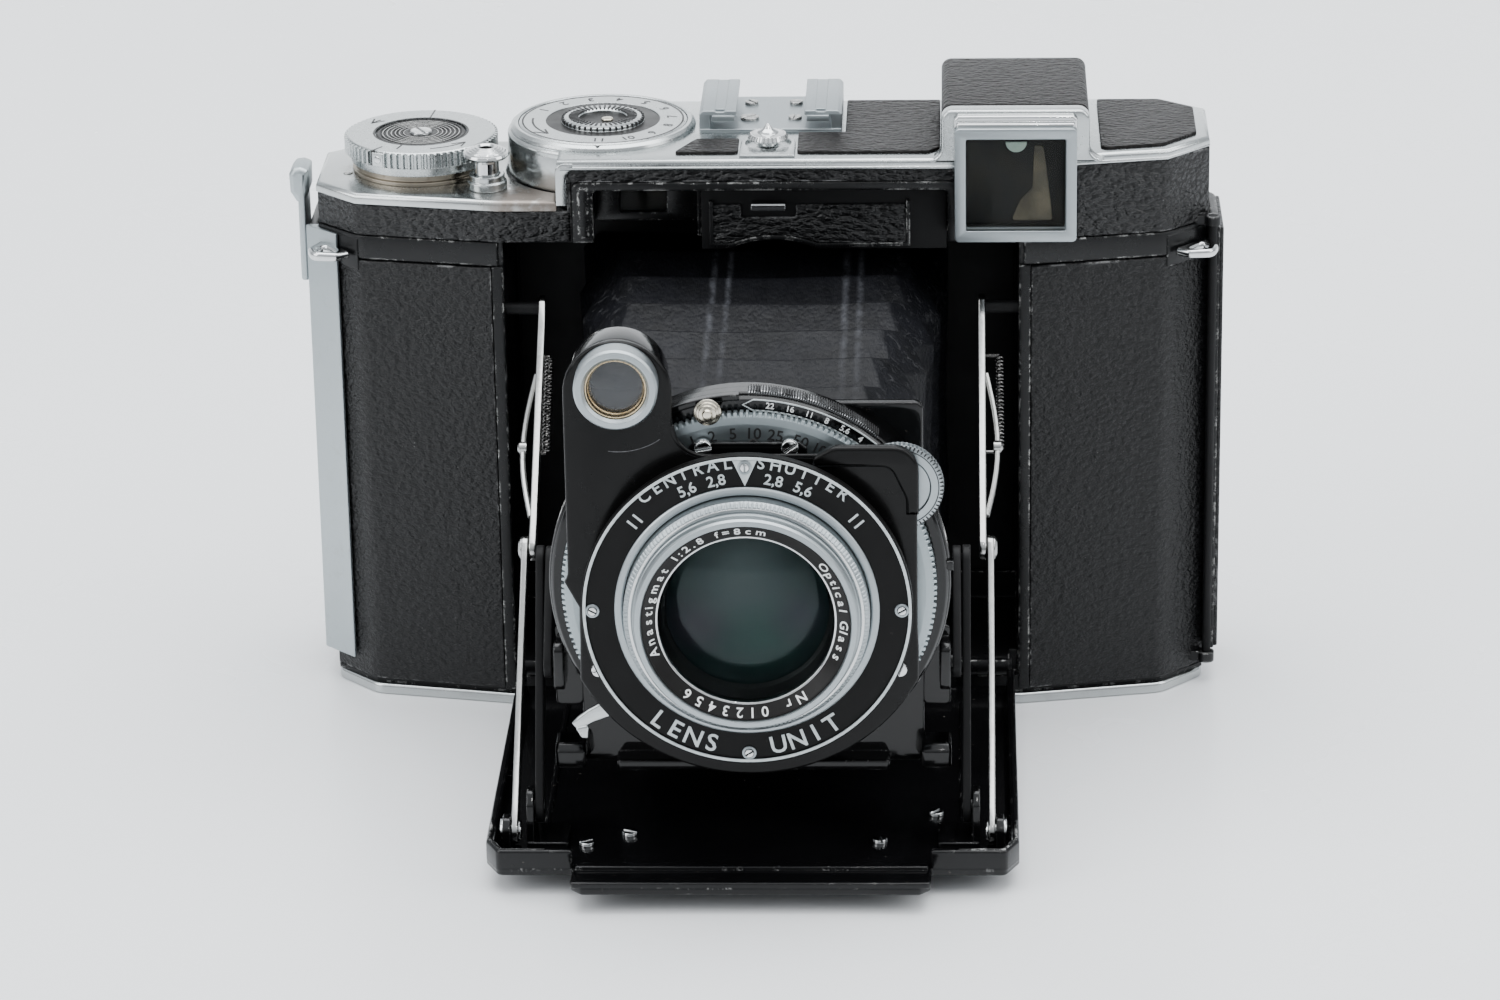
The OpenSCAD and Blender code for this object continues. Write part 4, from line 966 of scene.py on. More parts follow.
# ---------------------------------------------------------------- top plates
wing = [(-40, -0.2), (-30.95, -0.2), (-30.95, 4.2)] + arc(DI[0], DI[1], 14.95, 245.3, 118.0, 24) + [(-62, 31.2), (-68.8, 25.8), (-68.8, 10.4), (-62.2, 4.0)]
WL = [tuple(p) for p in wing]
holes = [circle(KN[0], KN[1], 3.3, 32), circle(SB[0], SB[1], 1.8, 24)]
plate("wing_plate", [WL] + holes, 81.4, 83.0, "wing", "casing", bev=0.75, bot=0.1, res=5, replaces=("top_wing",))
lathe("wing_screw", [(0, 83.0), (0.75, 83.0), (0.75, 83.12), (0, 83.2)], (-64.2, 14.6), "steel", "casing", "Z", 20, 0.05)
top = [(step_x, y) for step_x, y in [(-30.8, -0.2), (40, -0.2), (62, 4.1), (68.6, 10.62), (68.6, 25.6), (62, 31.0)]] + arc(DI[0], DI[1], 14.8, 118.55, 245.65, 30)
top = top[:8] + [p for p in top[8:]]
plate("top_plate", [clean(top), circle(DI[0], DI[1], 3.1, 28), circle(DB[0], DB[1], 1.35, 20)], 88.0, 89.52, "chrome_top", "casing", bev=0.72, bot=0.25, res=5, replaces=("top_plate",))
wall = clean([(-30.8, -0.2), (-29.5, -0.2), (-29.5, 5.3)] + arc(DI[0], DI[1], 13.5, 249.2, 110.8, 28) + [(-29.5, 30.9)] + arc(DI[0], DI[1], 14.8, 119.35, 245.65, 30))
plate("step_wall", [wall], 82.7, 88.5, "chrome", "casing", bev=0.3)
# front face of the step, wider where it meets the top
plate("step_front", [rpoly([(-31.0, 82.2), (-29.3, 82.2), (-29.3, 87.0), (-28.2, 88.1), (-28.2, 89.0), (-31.0, 89.0)], [0.2, 0.3, 1.4, 0.2, 0.2, 1.6], 5)], -0.28, 0.5, "chrome", "casing", "XZ", bev=0.22)
# roll along the front edge under the plate
multi("front_moulding", [sweep([(-30.2, -0.05, 88.15), (40.2, -0.05, 88.15), (61.9, 4.25, 88.15), (68.35, 10.7, 88.15), (68.35, 25.4, 88.15), (61.9, 30.8, 88.15)], 0.32, 10)], "chrome", "casing")

# finder housing
hs = [(27.6, 89.3), (50.0, 89.3), (50.0, 96.9), (27.6, 96.9)]
plate("finder_housing", [rpoly([(27.65, 89.3), (49.95, 89.3), (49.95, 97.15), (27.65, 97.15)], [0, 0, 1.5, 1.5], 8)], 2.6, 27.8, "topleather", "casing", "XZ", bev=0.45, res=4)
hb = [(25.4, 89.2)] + arc(25.4, 91.4, 2.2, -90, 0, 6)[1:] + arc(29.3, 95.4, 1.7, 180, 90, 8) + arc(48.3, 95.4, 1.7, 90, 0, 8) + arc(52.2, 91.4, 2.2, 180, 270, 6)
hb = clean(hb)
inner = [(31.2, 89.5), (46.4, 89.5), (46.4, 94.2), (31.2, 94.2)]
plate("finder_band", [hb, inner], -0.25, 2.75, "chrome_top", "casing", "XZ", bev=0.5, res=4)
plate("finder_rear_band", [rpoly([(27.6, 89.3), (50.0, 89.3), (50.0, 97.1), (27.6, 97.1)], [0, 0, 1.6, 1.6], 8), circle(38.8, 92.4, 3.1, 36)], 27.5, 28.1, "chrome_top", "casing", "XZ", bev=0.2)
lathe("eyepiece", [(3.0, 27.9), (4.1, 27.9), (4.1, 28.9), (3.0, 28.9)], (38.8, 92.4), "steel", "casing", "Y", 48, 0.2)
lathe("eyepiece_glass", [(0, 27.6), (2.98, 27.6), (2.98, 28.2), (0, 28.4)], (38.8, 92.4), "window", "casing", "Y", 40, 0.08)
# window frame in front
parts = [pp([rrect(29.6, 77.4, 48.0, 95.3, 0.7), rrect(31.3, 79.2, 46.3, 93.6, 0.25)], -4.0, -2.4, 0.18, "XZ"),
         pp([rrect(29.9, 77.7, 47.7, 95.1, 0.5), rrect(31.3, 79.2, 46.3, 93.6, 0.25)], -2.45, 1.3, 0.1, "XZ")]
multi("finder_frame", parts, "alu", "casing", replaces=("finder_frame",))
multi("finder_ledge", [pp([rpoly([(29.5, 94.6), (48.1, 94.6), (48.1, 96.1), (47.5, 96.7), (30.1, 96.7), (29.5, 96.1)], 0.3, 3)], -1.9, 0.2, 0.35, "XZ", 0, 4),
                       pp([rpoly([(29.9, 94.9), (47.7, 94.9), (47.7, 95.8), (29.9, 95.8)], 0.3, 3)], -2.9, -1.5, 0.3, "XZ", 0, 4)], "bright", "casing")
multi("finder_front_glass", [pp([rrect(31.4, 79.3, 46.2, 93.5, 0.2)], -2.2, -1.3, 0.1, "XZ")], "window", "casing")
# dark box behind the window
multi("finder_inside", [pbox((31.2, -0.45, 79.1), (46.4, -0.28, 93.7), 0.04), pbox((31.0, 6.0, 79.0), (46.6, 6.5, 93.8), 0.1), pbox((31.0, -1.0, 79.0), (31.4, 6.2, 93.8), 0.05), pbox((46.2, -1.0, 79.0), (46.6, 6.2, 93.8), 0.05),
                        pbox((31.2, -1.0, 78.9), (46.4, 6.2, 79.3), 0.05), pbox((31.2, -1.0, 93.4), (46.4, 6.2, 93.8), 0.05)], "finder_in", "casing")
multi("finder_prism", [pp([rpoly([(38.2, 79.9), (44.4, 79.9), (44.0, 83.6), (43.0, 91.6), (41.6, 91.8), (41.4, 85.0), (39.6, 83.2)], 0.4, 3)], -0.75, -0.4, 0.1, "XZ")], "prism", "casing")
parts = [pt([(0, -0.85), (1.6, -0.85), (1.6, -0.4), (0, -0.4)], (38.9, 92.3), "Y", 32, 0.1, a0=180, a1=360)]
multi("finder_spot", parts, "green", "casing")

# leather inlays on the top
multi("top_inlays", [
    pp([rpoly([(51.8, 3.9), (61.3, 5.9), (66.6, 11.7), (66.6, 24.9), (61.3, 29.3), (51.8, 29.3)], [1.2, 1, 1, 1, 1, 0.5], 5)], 89.4, 89.95, 0.16),
    pp([rpoly([(-13.0, 2.6), (-3.3, 2.6), (-3.3, 9.4), (-9.8, 9.4), (-10.6, 8.0)], [0.4, 0.8, 0.3, 0.3, 0.3], 3)], 89.4, 89.95, 0.16),
    pp([rpoly([(5.7, 2.6), (25.6, 2.6), (27.4, 4.4), (27.4, 29.4), (12.9, 29.4), (12.9, 12.6), (5.7, 12.6)], [0.8, 0.5, 0.5, 0.3, 0.3, 0.3, 0.3], 3)], 89.4, 89.95, 0.16)], "topleather", "casing", replaces=("top_leather",))
# accessory shoe
parts = [pp([rrect(-9.6, 13.6, 12.3, 31.0, 0.3)], 89.5, 90.1, 0.12)]
for s in (-1, 1):
    X = lambda x: 1.35 + s * x
    rail = [(X(10.95), 90.0), (X(10.95), 92.4), (X(10.4), 92.95), (X(8.6), 92.95), (X(8.3), 92.75), (X(7.2), 92.75), (X(6.9), 92.95), (X(5.25), 92.95), (X(5.25), 92.2), (X(9.3), 92.2), (X(9.3), 90.0)]
    parts.append(pp([rpoly(rail, 0.12, 2)], 13.8, 31.0, 0.12, "XZ"))
    parts.append(pbox((min(X(6.9), X(8.6)), 14.6, 92.75), (max(X(6.9), X(8.6)), 30.4, 93.05), 0.12))
    parts.append(pbox((min(X(5.6), X(9.0)), 13.4, 91.3), (max(X(5.6), X(9.0)), 14.4, 92.3), 0.15))
multi("shoe", parts, "alu", "casing", replaces=("accessory_shoe",))
parts = []
for i, p in enumerate([(-2, 19), (5, 19), (-2, 27), (5, 27)]):
    parts += screw(p, "Z", 90.05, 90.55, 1.05 if i else 1.45, 35 + 47 * i)
multi("shoe_screws", parts, "steel", "casing", replaces=("shoe_screws",))

# strap lugs
for s, nm in ((-1, "left"), (1, "right")):
    mount = rpoly([(62.1, 4.35), (68.2, 9.85), (67.75, 10.2), (61.7, 4.85)], 0.15, 2)
    loop_o = rpoly([(63.2, 4.4), (65.4, 2.9), (69.2, 3.4), (70.0, 6.2), (68.3, 10.0)], [0.4, 1.4, 1.9, 1.6, 0.4], 5)
    loop_i = rpoly([(65.3, 4.7), (66.2, 4.2), (68.0, 4.5), (68.5, 6.0), (67.6, 7.4)], 0.7, 4)
    multi("lug_" + nm, [pp([[(s * x, y) for x, y in loop_o], [(s * x, y) for x, y in loop_i]], 72.3, 73.7, 0.5, res=4)], "bright", "casing", replaces=("strap_lugs",) if s < 0 else ())
    multi("lug_plate_" + nm, [pp([[(s * x, y) for x, y in mount]], 70.6, 75.6, 0.12)], "trim", "casing")

# ---------------------------------------------------------------- wind knob
c = KN
kp = [(7.15, 88.12), (7.15, 88.62, 0.05), (11.3, 88.62), (11.55, 88.4), (11.9, 88.4, 0.05), (11.9, 86.15, 0.05), (11.45, 86.05), (10.9, 85.95, 0.05), (10.9, 84.6), (3.2, 84.6), (3.2, 88.12)]
lathe("knob_body", kp, c, "chrome_top", "wind_knob", "Z", 72 * 6, 0.1, rmod=tooth(72, 0.55, 86.1, 88.45, 11.5, 0.45), replaces=("wind_knob",))
parts = [pt([(0, 88.14), (6.95, 88.14), (6.95, 88.4), (6.75, 88.5)] + sum([[(r + 0.22, 88.5, 0.03), (r + 0.14, 88.34, 0.03), (r - 0.02, 88.34, 0.03), (r - 0.10, 88.5, 0.03)] for r in [6.2, 5.7, 5.2, 4.7, 4.2, 3.7, 3.2, 2.7]], []) + [(2.1, 88.5), (1.9, 88.42), (0, 88.42)], c, "Z", 96, 0.03, n=2)]
multi("knob_disc", parts, "disc", "wind_knob", replaces=("knob_disc",))
multi("knob_screw", screw(c, "Z", 88.3, 88.85, 1.65, 118, dome=0.3, w=0.12), "bright", "wind_knob")
# engraved marks on the knob, laid as thin black fills
def arc_strip(c, r0, r1, a0, a1, z0, z1, n=14, mi=0):
    return pp([arc(c[0], c[1], r1, a0, a1, n) + arc(c[0], c[1], r0, a1, a0, n)], z0, z1, 0.01, "XY", mi, 1)
def rot2(pts, a, c):
    a = math.radians(a)
    return [(c[0] + x * math.cos(a) - y * math.sin(a), c[1] + x * math.sin(a) + y * math.cos(a)) for x, y in pts]
parts = [arc_strip(c, 9.05, 9.38, -76, -40, 88.55, 88.64), arc_strip(c, 9.05, 9.38, 138, 152, 88.55, 88.64)]
for a in (-38, 150):
    for sgn in (-1, 1):
        parts.append(pp([rot2([(9.21 - 0.17, 0.15), (9.21 + 0.17, 0.15), (9.21 + sgn * 1.0 + 0.17, -1.9), (9.21 + sgn * 1.0 - 0.17, -1.9)], a, c)], 88.55, 88.64, 0.01, "XY", 0, 1))
parts.append(pp([rot2([(7.3, -0.16), (9.4, -0.16), (9.4, 0.16), (7.3, 0.16)], -108, c)], 88.55, 88.64, 0.01, "XY", 0, 1))
parts.append(pp([rot2([(7.3, -0.13), (11.5, -0.13), (11.5, 0.13), (7.3, 0.13)], 84, c)], 88.55, 88.64, 0.01, "XY", 0, 1))
parts.append(pp([rot2([(7.15, -0.07), (7.3, -0.07), (7.3, 0.07), (7.15, 0.07)], 10, c)], 88.55, 88.64, 0.01, "XY", 0, 1))
parts.append(pp([circle(c[0], c[1], 7.45, 72), circle(c[0], c[1], 7.12, 72)], 88.56, 88.635, 0.01, "XY", 0, 1))
parts.append(pp([rot2([(9.4, -0.16), (11.94, -0.16), (11.94, 0.16), (9.4, 0.16)], -124, c)], 86.2, 88.645, 0.01, "XY", 0, 1))
multi("knob_marks", parts, "ink", "wind_knob")
rings = [pt([(r_, 88.44), (r_ + 0.17, 88.44), (r_ + 0.17, 88.54), (r_, 88.54)], c, "Z", 96, 0.03, n=2) for r_ in (2.6, 3.25, 3.9, 4.55, 5.2, 5.85)]
multi("knob_rings", rings, "steel", "wind_knob")
# smooth block with its little screw on the rim
a = math.radians(-119)
bx, by = c[0] + 11.45 * math.cos(a), c[1] + 11.45 * math.sin(a)
parts = [pp([rot2([(10.2, -0.95), (11.95, -0.95), (11.95, 0.95), (10.2, 0.95)], -119, c)], 86.15, 88.4, 0.1)]
multi("knob_block", parts, "chrome", "wind_knob")
parts = []
for q in (0,):
    v, f, s_ = turn(fillet([(0, 11.7), (0.62, 11.7), (0.62, 12.05), (0, 12.2)], 0.1, 3), (0, 0), "X", 20)
    v = [(c[0] + (x * math.cos(a) - y * math.sin(a)), c[1] + (x * math.sin(a) + y * math.cos(a)), z + 87.3) for x, y, z in v]
    parts.append(fix((v, f, s_)))
multi("knob_rim_screw", parts, "bright", "wind_knob")
lathe("knob_seat", [(3.3, 83.02), (10.75, 83.02), (10.75, 83.55), (10.3, 83.75), (10.3, 84.5), (3.3, 84.5)], c, "seat", "casing", "Z", 120, 0.1, replaces=("top_collars",))

# ---------------------------------------------------------------- shutter button
lathe("button_collar", [(2.0, 83.0), (3.05, 83.0), (3.05, 84.2), (2.75, 84.35), (2.75, 85.3), (2.0, 85.3)], SB, "chrome", "casing", "Z", 64, 0.15)
pr = [(1.05, 86.3), (1.05, 89.35), (1.35, 89.6), (1.7, 89.6), (1.85, 89.42), (2.1, 89.42), (2.25, 89.24), (2.5, 89.24), (2.65, 89.06), (2.9, 89.06), (3.05, 88.85), (3.45, 88.75), (3.62, 88.35), (3.15, 87.9), (2.0, 87.6), (1.9, 87.2), (1.9, 85.0), (1.2, 85.0), (1.2, 77.2), (0, 77.2), (0, 86.3)]
lathe("button_cap", pr, SB, "bright", "shutter_button", "Z", 72, 0.07, replaces=("shutter_button",))
lathe("button_hole", [(0, 86.5), (1.03, 86.5), (1.03, 86.7), (0, 86.7)], SB, "inner", "shutter_button", "Z", 24, 0.03)

# ---------------------------------------------------------------- counter dial
c = DI
lathe("dial_rim", [(12.55, 89.45), (13.8, 89.45), (13.6, 90.05), (13.1, 90.42), (12.55, 90.42)], c, "chrome_top", "casing", "Z", 144, 0.12)
pr = [(3.4, 90.4), (6.15, 90.4), (6.15, 90.15), (8.45, 90.15), (8.45, 90.45), (12.1, 90.45), (12.45, 90.3), (12.45, 89.56), (2.9, 89.56), (2.9, 85.7), (0, 85.7), (0, 90.4)]
lathe("dial_plate", pr, c, "chrome_top", "counter_dial", "Z", 144, 0.06, replaces=("counter_dial",))
lathe("dial_black_ring", [(6.1, 90.1), (8.5, 90.1), (8.5, 90.36), (6.1, 90.36)], c, "disc", "counter_dial", "Z", 120, 0.05)
lathe("dial_hub", [(3.5, 90.2), (3.5, 90.75), (3.8, 91.0), (5.3, 91.05), (6.0, 90.85), (6.05, 90.2)], c, "chrome_top", "counter_dial", "Z", 120, 0.1)
parts = []
for i in range(40):
    a = i * 360 / 40
    parts.append(pp([rot2([(3.62, -0.12), (5.1, -0.17), (5.1, 0.17), (3.62, 0.12)], a, c)], 90.9, 91.13, 0.03, "XY", 0, 2))
    parts.append(pp([rot2([(5.72, -0.15), (6.12, -0.15), (6.12, 0.15), (5.72, 0.15)], a + 4.5, c)], 90.3, 91.0, 0.03, "XY", 0, 2))
multi("dial_serration", parts, "ink", "counter_dial")
lathe("dial_well", [(0, 90.25), (3.55, 90.25), (3.55, 90.5), (1.4, 90.42), (0, 90.42)], c, "disc", "counter_dial", "Z", 60, 0.05)
lathe("dial_dot", [(0, 90.4), (0.95, 90.4), (0.9, 90.75), (0, 90.95)], (c[0] + 0.7, c[1] - 0.3), "pale_brass", "counter_dial", "Z", 32, 0.15)
items = [(str(v), 2.15, on_top(c, 10.35, -90 + (11 - v) * 24.2, 90.45)) for v in range(1, 12)]
glyphs("dial_numbers", items, "ink", "counter_dial", 0.05)
parts = [pp([circle(c[0], c[1], 12.02, 120), circle(c[0], c[1], 11.74, 120)], 90.42, 90.475, 0.01, "XY", 0, 1), arc_strip(c, 10.24, 10.56, 176, 220, 90.42, 90.48)]
for sgn in (-1, 1):
    parts.append(pp([rot2([(10.4 - 0.17, 0.1), (10.4 + 0.17, 0.1), (10.4 + sgn * 1.0 + 0.17, -1.9), (10.4 + sgn * 1.0 - 0.17, -1.9)], 222, c)], 90.42, 90.48, 0.01, "XY", 0, 1))
for v in range(1, 11):
    parts.append(pp([rot2([(11.75, -0.07), (12.2, -0.07), (12.2, 0.07), (11.75, 0.07)], -90 + (11 - v - 0.5) * 24.2 + 24.2, c)], 90.42, 90.475, 0.01, "XY", 0, 1))
multi("dial_marks", parts, "ink", "counter_dial")
parts = []
for sgn in (-1, 1):
    parts.append(pp([[(c[0] - 0.13, c[1] - 13.45), (c[0] + 0.13, c[1] - 13.45), (c[0] + sgn * 0.65 + 0.13, c[1] - 12.6), (c[0] + sgn * 0.65 - 0.13, c[1] - 12.6)]], 90.38, 90.44, 0.01, "XY", 0, 1))
multi("dial_index", parts, "ink", "casing")

for n_ in ("dial_rim", "dial_plate", "dial_black_ring", "dial_hub", "dial_serration", "dial_well", "dial_numbers", "dial_marks", "dial_index"):
    for v_ in MADE[n_].data.vertices:
        v_.co.x = DI[0] * MM + (v_.co.x - DI[0] * MM) * 1.045
        v_.co.y = DI[1] * MM + (v_.co.y - DI[1] * MM) * 1.045

# ---------------------------------------------------------------- door button
tab = [(-2.9, 1.2), (5.3, 1.2)] + arc(1.2, 7.0, 4.1, 0, 180, 16)
multi("button_tab", [pp([clean([(-3.0, 0.6), (5.4, 0.6)] + arc(1.2, 7.0, 4.2, 0, 180, 18)), circle(DB[0], DB[1], 3.5, 48)], 89.4, 90.0, 0.18)], "chrome_top", "casing")
lathe("door_button_skirt", [(1.2, 90.6), (3.0, 90.6), (3.1, 90.8), (2.75, 91.5), (1.6, 91.62), (0, 91.65)], DB, "bright", "door_button", "Z", 30 * 6, 0.06, closed=False, rmod=tooth(30, 0.26, 90.4, 91.56, 2.0, 0.5), replaces=("door_button",))
lathe("door_button_cone", [(0, 91.4), (1.75, 91.5), (1.35, 91.95), (0.75, 92.3), (0.28, 92.95), (0, 93.1)], DB, "bright", "door_button", "Z", 48, 0.1, closed=False)
lathe("door_button_stem", [(0, 84.8), (1.2, 84.8), (1.2, 90.6), (0, 90.6)], DB, "bright", "door_button", "Z", 32, 0.1)

# ---------------------------------------------------------------- bellows
def bellows():
    folds = 7
    y0, y1 = 23.9, -52.4
    n = folds * 2 + 1
    V, F = [], []
    ring = 0
    rows = []
    for i in range(n):
        t = i / (n - 1)
        y = y0 + (y1 - y0) * t
        hx = 29.2 + (21.6 - 29.2) * t
        zl = 17.7 + (22.6 - 17.7) * t
        zh = 70.8 + (66.9 - 70.8) * t
        out = i % 2 == 0 if i not in (0, n - 1) else False
        d = 0.0 if out else 2.5
        if i in (0, n - 1):
            d = 1.0
        ch = (6.6 if out else 2.2)
        x, lo, hi = hx - d, zl + d, zh - d
        sag = 0.25 * math.sin(i * 2.3)
        pts = []
        m = 9
        def side(a, b):
            for q in range(m):
                f = q / m
                pts.append((a[0] + (b[0] - a[0]) * f, a[1] + (b[1] - a[1]) * f, f))
        C = [(-x + ch, hi), (x - ch, hi), (x, hi - ch), (x, lo + ch), (x - ch, lo), (-x + ch, lo), (-x, lo + ch), (-x, hi - ch)]
        row = []
        for s_ in range(8):
            a, b = C[s_], C[(s_ + 1) % 8]
            long_side = s_ % 2 == 0
            mm_ = 10 if long_side else 3
            for q in range(mm_):
                f = q / mm_
                px, pz = a[0] + (b[0] - a[0]) * f, a[1] + (b[1] - a[1]) * f
                w = math.sin(PI * f) if long_side else 0
                k_ = -0.5 * w + 0.12 * w * math.sin(7.1 * f + i * 1.9 + s_)
                if s_ == 0:
                    pz += k_
                elif s_ == 4:
                    pz -= k_
                elif s_ == 2:
                    px += k_
                elif s_ == 6:
                    px -= k_
                row.append(len(V))
                V.append((px, y + (0.35 * w * (1 if out else -0.6)), pz))
        rows.append(row)
    for i in range(n - 1):
        A_, B_ = rows[i], rows[i + 1]
        k_ = len(A_)
        for q in range(k_):
            F.append((A_[q], A_[(q + 1) % k_], B_[(q + 1) % k_], B_[q]))
    me = bpy.data.meshes.new("bellows_skin")
    me.from_pydata([tuple(c_ * MM for c_ in v) for v in V], [], F)
    me.validate()
    ob = bpy.data.objects.new("bellows_skin", me)
    me.materials.append(M["bellows"].m)
    COL.objects.link(ob)
    s1 = ob.modifiers.new("s", "SOLIDIFY")
    s1.thickness = 0.0006
    s1.offset = -1
    b1 = ob.modifiers.new("b", "BEVEL")
    b1.width = 0.00032
    b1.segments = 2
    b1.limit_method = "ANGLE"
    b1.angle_limit = math.radians(24)
    dg = bpy.context.evaluated_depsgraph_get()
    m2 = bpy.data.meshes.new_from_object(ob.evaluated_get(dg))
    ob.modifiers.clear()
    old = ob.data
    ob.data = m2
    bpy.data.meshes.remove(old)
    m2.polygons.foreach_set("use_smooth", [True] * len(m2.polygons))
    m2.set_sharp_from_angle(angle=math.radians(30))
    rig.ride(ob, "casing")
    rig.replaces(ob, "bellows")
    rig.squash(ob, "door_fold", axis=(0, 1, 0), anchor=(0, 0.0244, 0.0447), keep=0.028)


bellows()
# black frame at the mouth of the bellows inside the body
plate("bellows_frame", [rrect(-39.0, 13.2, 39.0, 76.0, 0.6), rrect(-27.6, 19.2, 27.6, 69.4, 1.5)], 23.9, 24.8, "inner", "casing", "XZ", bev=0.15)

# ---------------------------------------------------------------- lens standard
LS = "lens_standard"
c = AX
R0 = circle(0, 44.7, 16.4, 64)
parts = [pp([rrect(-25, 14, 25, 70, 1.2), R0], -54.0, -52.5, 0.3, "XZ")]
for s in (-1, 1):
    parts.append(pbox((min(s * 24.9, s * 28.9), -54.0, 23), (max(s * 24.9, s * 28.9), -52.5, 35.5), 0.25, "XZ", 0.8))
    parts.append(pbox((min(s * 27.3, s * 28.9), -57.6, 26.5), (max(s * 27.3, s * 28.9), -52.6, 33.8), 0.3, "YZ", 1.2))
    parts.append(pt([(0, s * 28.7), (1.2, s * 28.7), (1.2, s * 30.35), (0, s * 30.35)], (Q[0], Q[1]), "X", 24, 0.1))
    parts.append(pbox((min(s * 21.5, s * 24.2), -57.2, 36), (max(s * 21.5, s * 24.2), -53.8, 40), 0.3))
parts.append(pbox((-20, -57.6, 14), (20, -53, 15.6), 0.3, r=0.6))
multi("lens_board", parts, "enamel", LS, replaces=("lens_board",))
# shutter case
pr = [(16.4, -54.1), (28.4, -54.1), (28.6, -54.4), (28.6, -56.85, 0.1), (28.2, -56.9, 0.05), (28.2, -59.65, 0.05), (28.6, -59.7, 0.1), (28.6, -60.3), (28.2, -60.8), (17.6, -60.8), (17.6, -69.3), (16.4, -69.3)]
lathe("shutter_body", pr, c, "enamel", LS, "Y", 192, 0.18, replaces=("shutter_case",))
# raised black lip at the upper left of the case
parts = [pt([(28.3, -61.4), (29.25, -61.4), (29.25, -59.8), (28.3, -59.8)], c, "Y", 26, 0.2, a0=92, a1=128)]
multi("shutter_lip", parts, "enamel", LS)
# aperture scale on the case, silver lines and figures
def band(c, r0, r1, a0, a1, y0, y1, n=40, mi=0, bev=0.02):
    return pp([arc(c[0], c[1], r1, a0, a1, n) + arc(c[0], c[1], r0, a1, a0, n)], y0, y1, bev, "XZ", mi, 1)
parts = [band(c, 28.16, 28.34, 40, 88, -60.92, -60.74), band(c, 26.55, 26.75, 40, 88, -60.92, -60.74)]
e0 = [(c[0] + r * math.cos(math.radians(a)), c[1] + r * math.sin(math.radians(a))) for r, a in ((28.34, 88), (27.5, 91.4), (26.55, 88), (26.75, 88), (27.5, 90.9), (28.16, 88))]
parts.append(pp([e0], -60.92, -60.74, 0.01, "XZ", 0, 1))
multi("aperture_scale_lines", parts, "silver", LS)
items = [(t, 1.25, on_ring(c, 27.45, a, -60.84)) for t, a in (("22", 83), ("16", 77), ("11", 71), ("8", 65.5), ("5.6", 59.5), ("4", 54), ("2.8", 48))]
glyphs("aperture_figures", items, "white", LS, 0.12)
# stepped brass screw
sc = (-5.4, 72.1)
pr = [(0, -60.7), (0.55, -60.7), (0.55, -63.5), (1.95, -63.5), (1.95, -63.85), (1.6, -64.0), (1.6, -64.2), (1.25, -64.35), (1.25, -64.55), (0.75, -64.65), (0.6, -64.95), (0, -65.05)]
parts = [pt(pr, sc, "Y", 48, 0.06)]
multi("stepped_screw", parts, "pale_brass", LS)

# aperture ring
parts = [pt([(28.25, -56.95), (28.25, -59.6), (28.75, -59.6), (28.95, -59.3), (28.95, -57.2), (28.75, -56.95)], c, "Y", 192, 0.06)]
multi("aperture_ring_body", parts, "enamel", "aperture_ring", replaces=("aperture_ring",))
tf = tooth(150, 0.16, -59.55, -57.0, 28.9, 0.5)
parts = [pt([(28.6, -59.62), (29.05, -59.5), (29.18, -59.3), (29.18, -57.2), (28.6, -57.0)], c, "Y", 150, 0.04, rmod=lambda r, h, t: r - (0.2 if (int(round(math.degrees(t) * 5)) % 2 and r > 28.95) else 0), a0=50, a1=89.6)]
multi("aperture_ring_knurl", parts, "knurl", "aperture_ring")
parts = []
for i in range(56):
    a_ = 50.2 + i * 0.7
    parts.append(band(c, 28.7, 29.26, a_, a_ + 0.33, -59.68, -57.05, 2, bev=0.01))
multi("aperture_ring_cuts", parts, "ink", "aperture_ring")
multi("aperture_pointer", [pbox((26.9, -60.4, 46.6), (29.3, -58.6, 48.0), 0.2, "XZ")], "enamel", "aperture_ring")

# speed ring
pr = [(18.2, -61.05), (18.2, -63.05), (25.4, -63.2), (26.4, -63.05, 0.08), (26.95, -62.75, 0.05), (26.95, -61.35, 0.05), (26.4, -61.05, 0.05)]
lathe("speed_ring_body", pr, c, "alu_ring", "speed_ring", "Y", 190 * 6, 0.08, rmod=tooth(190, 0.42, -62.95, -61.2, 26.5, 0.5), replaces=("speed_ring",))
xs = [-18.5, -11.6, -4.5, 2.4, 10.0, 18.7, 26.6]
items = [(t, 2.35 if len(t) < 3 else 2.0, on_ring(c, 23.95, 90 - a, -63.2)) for t, a in zip(("1", "2", "5", "10", "25", "50", "100"), xs)]
items += [("B", 2.2, on_ring(c, 23.95, 116, -63.2))]
glyphs("speed_figures", items, "ink", "speed_ring", 0.08)
parts = [pp([[(p_[0], p_[1]) for p_ in [(c[0] + r * math.cos(math.radians(a + d)), c[1] + r * math.sin(math.radians(a + d))) for r, d in ((21.6, -0.22), (22.4, -0.22), (22.4, 0.22), (21.6, 0.22))]]], -63.26, -63.16, 0.01, "XZ", 0, 1) for a in [90 - x for x in xs]]
multi("speed_ticks", parts, "ink", "speed_ring")

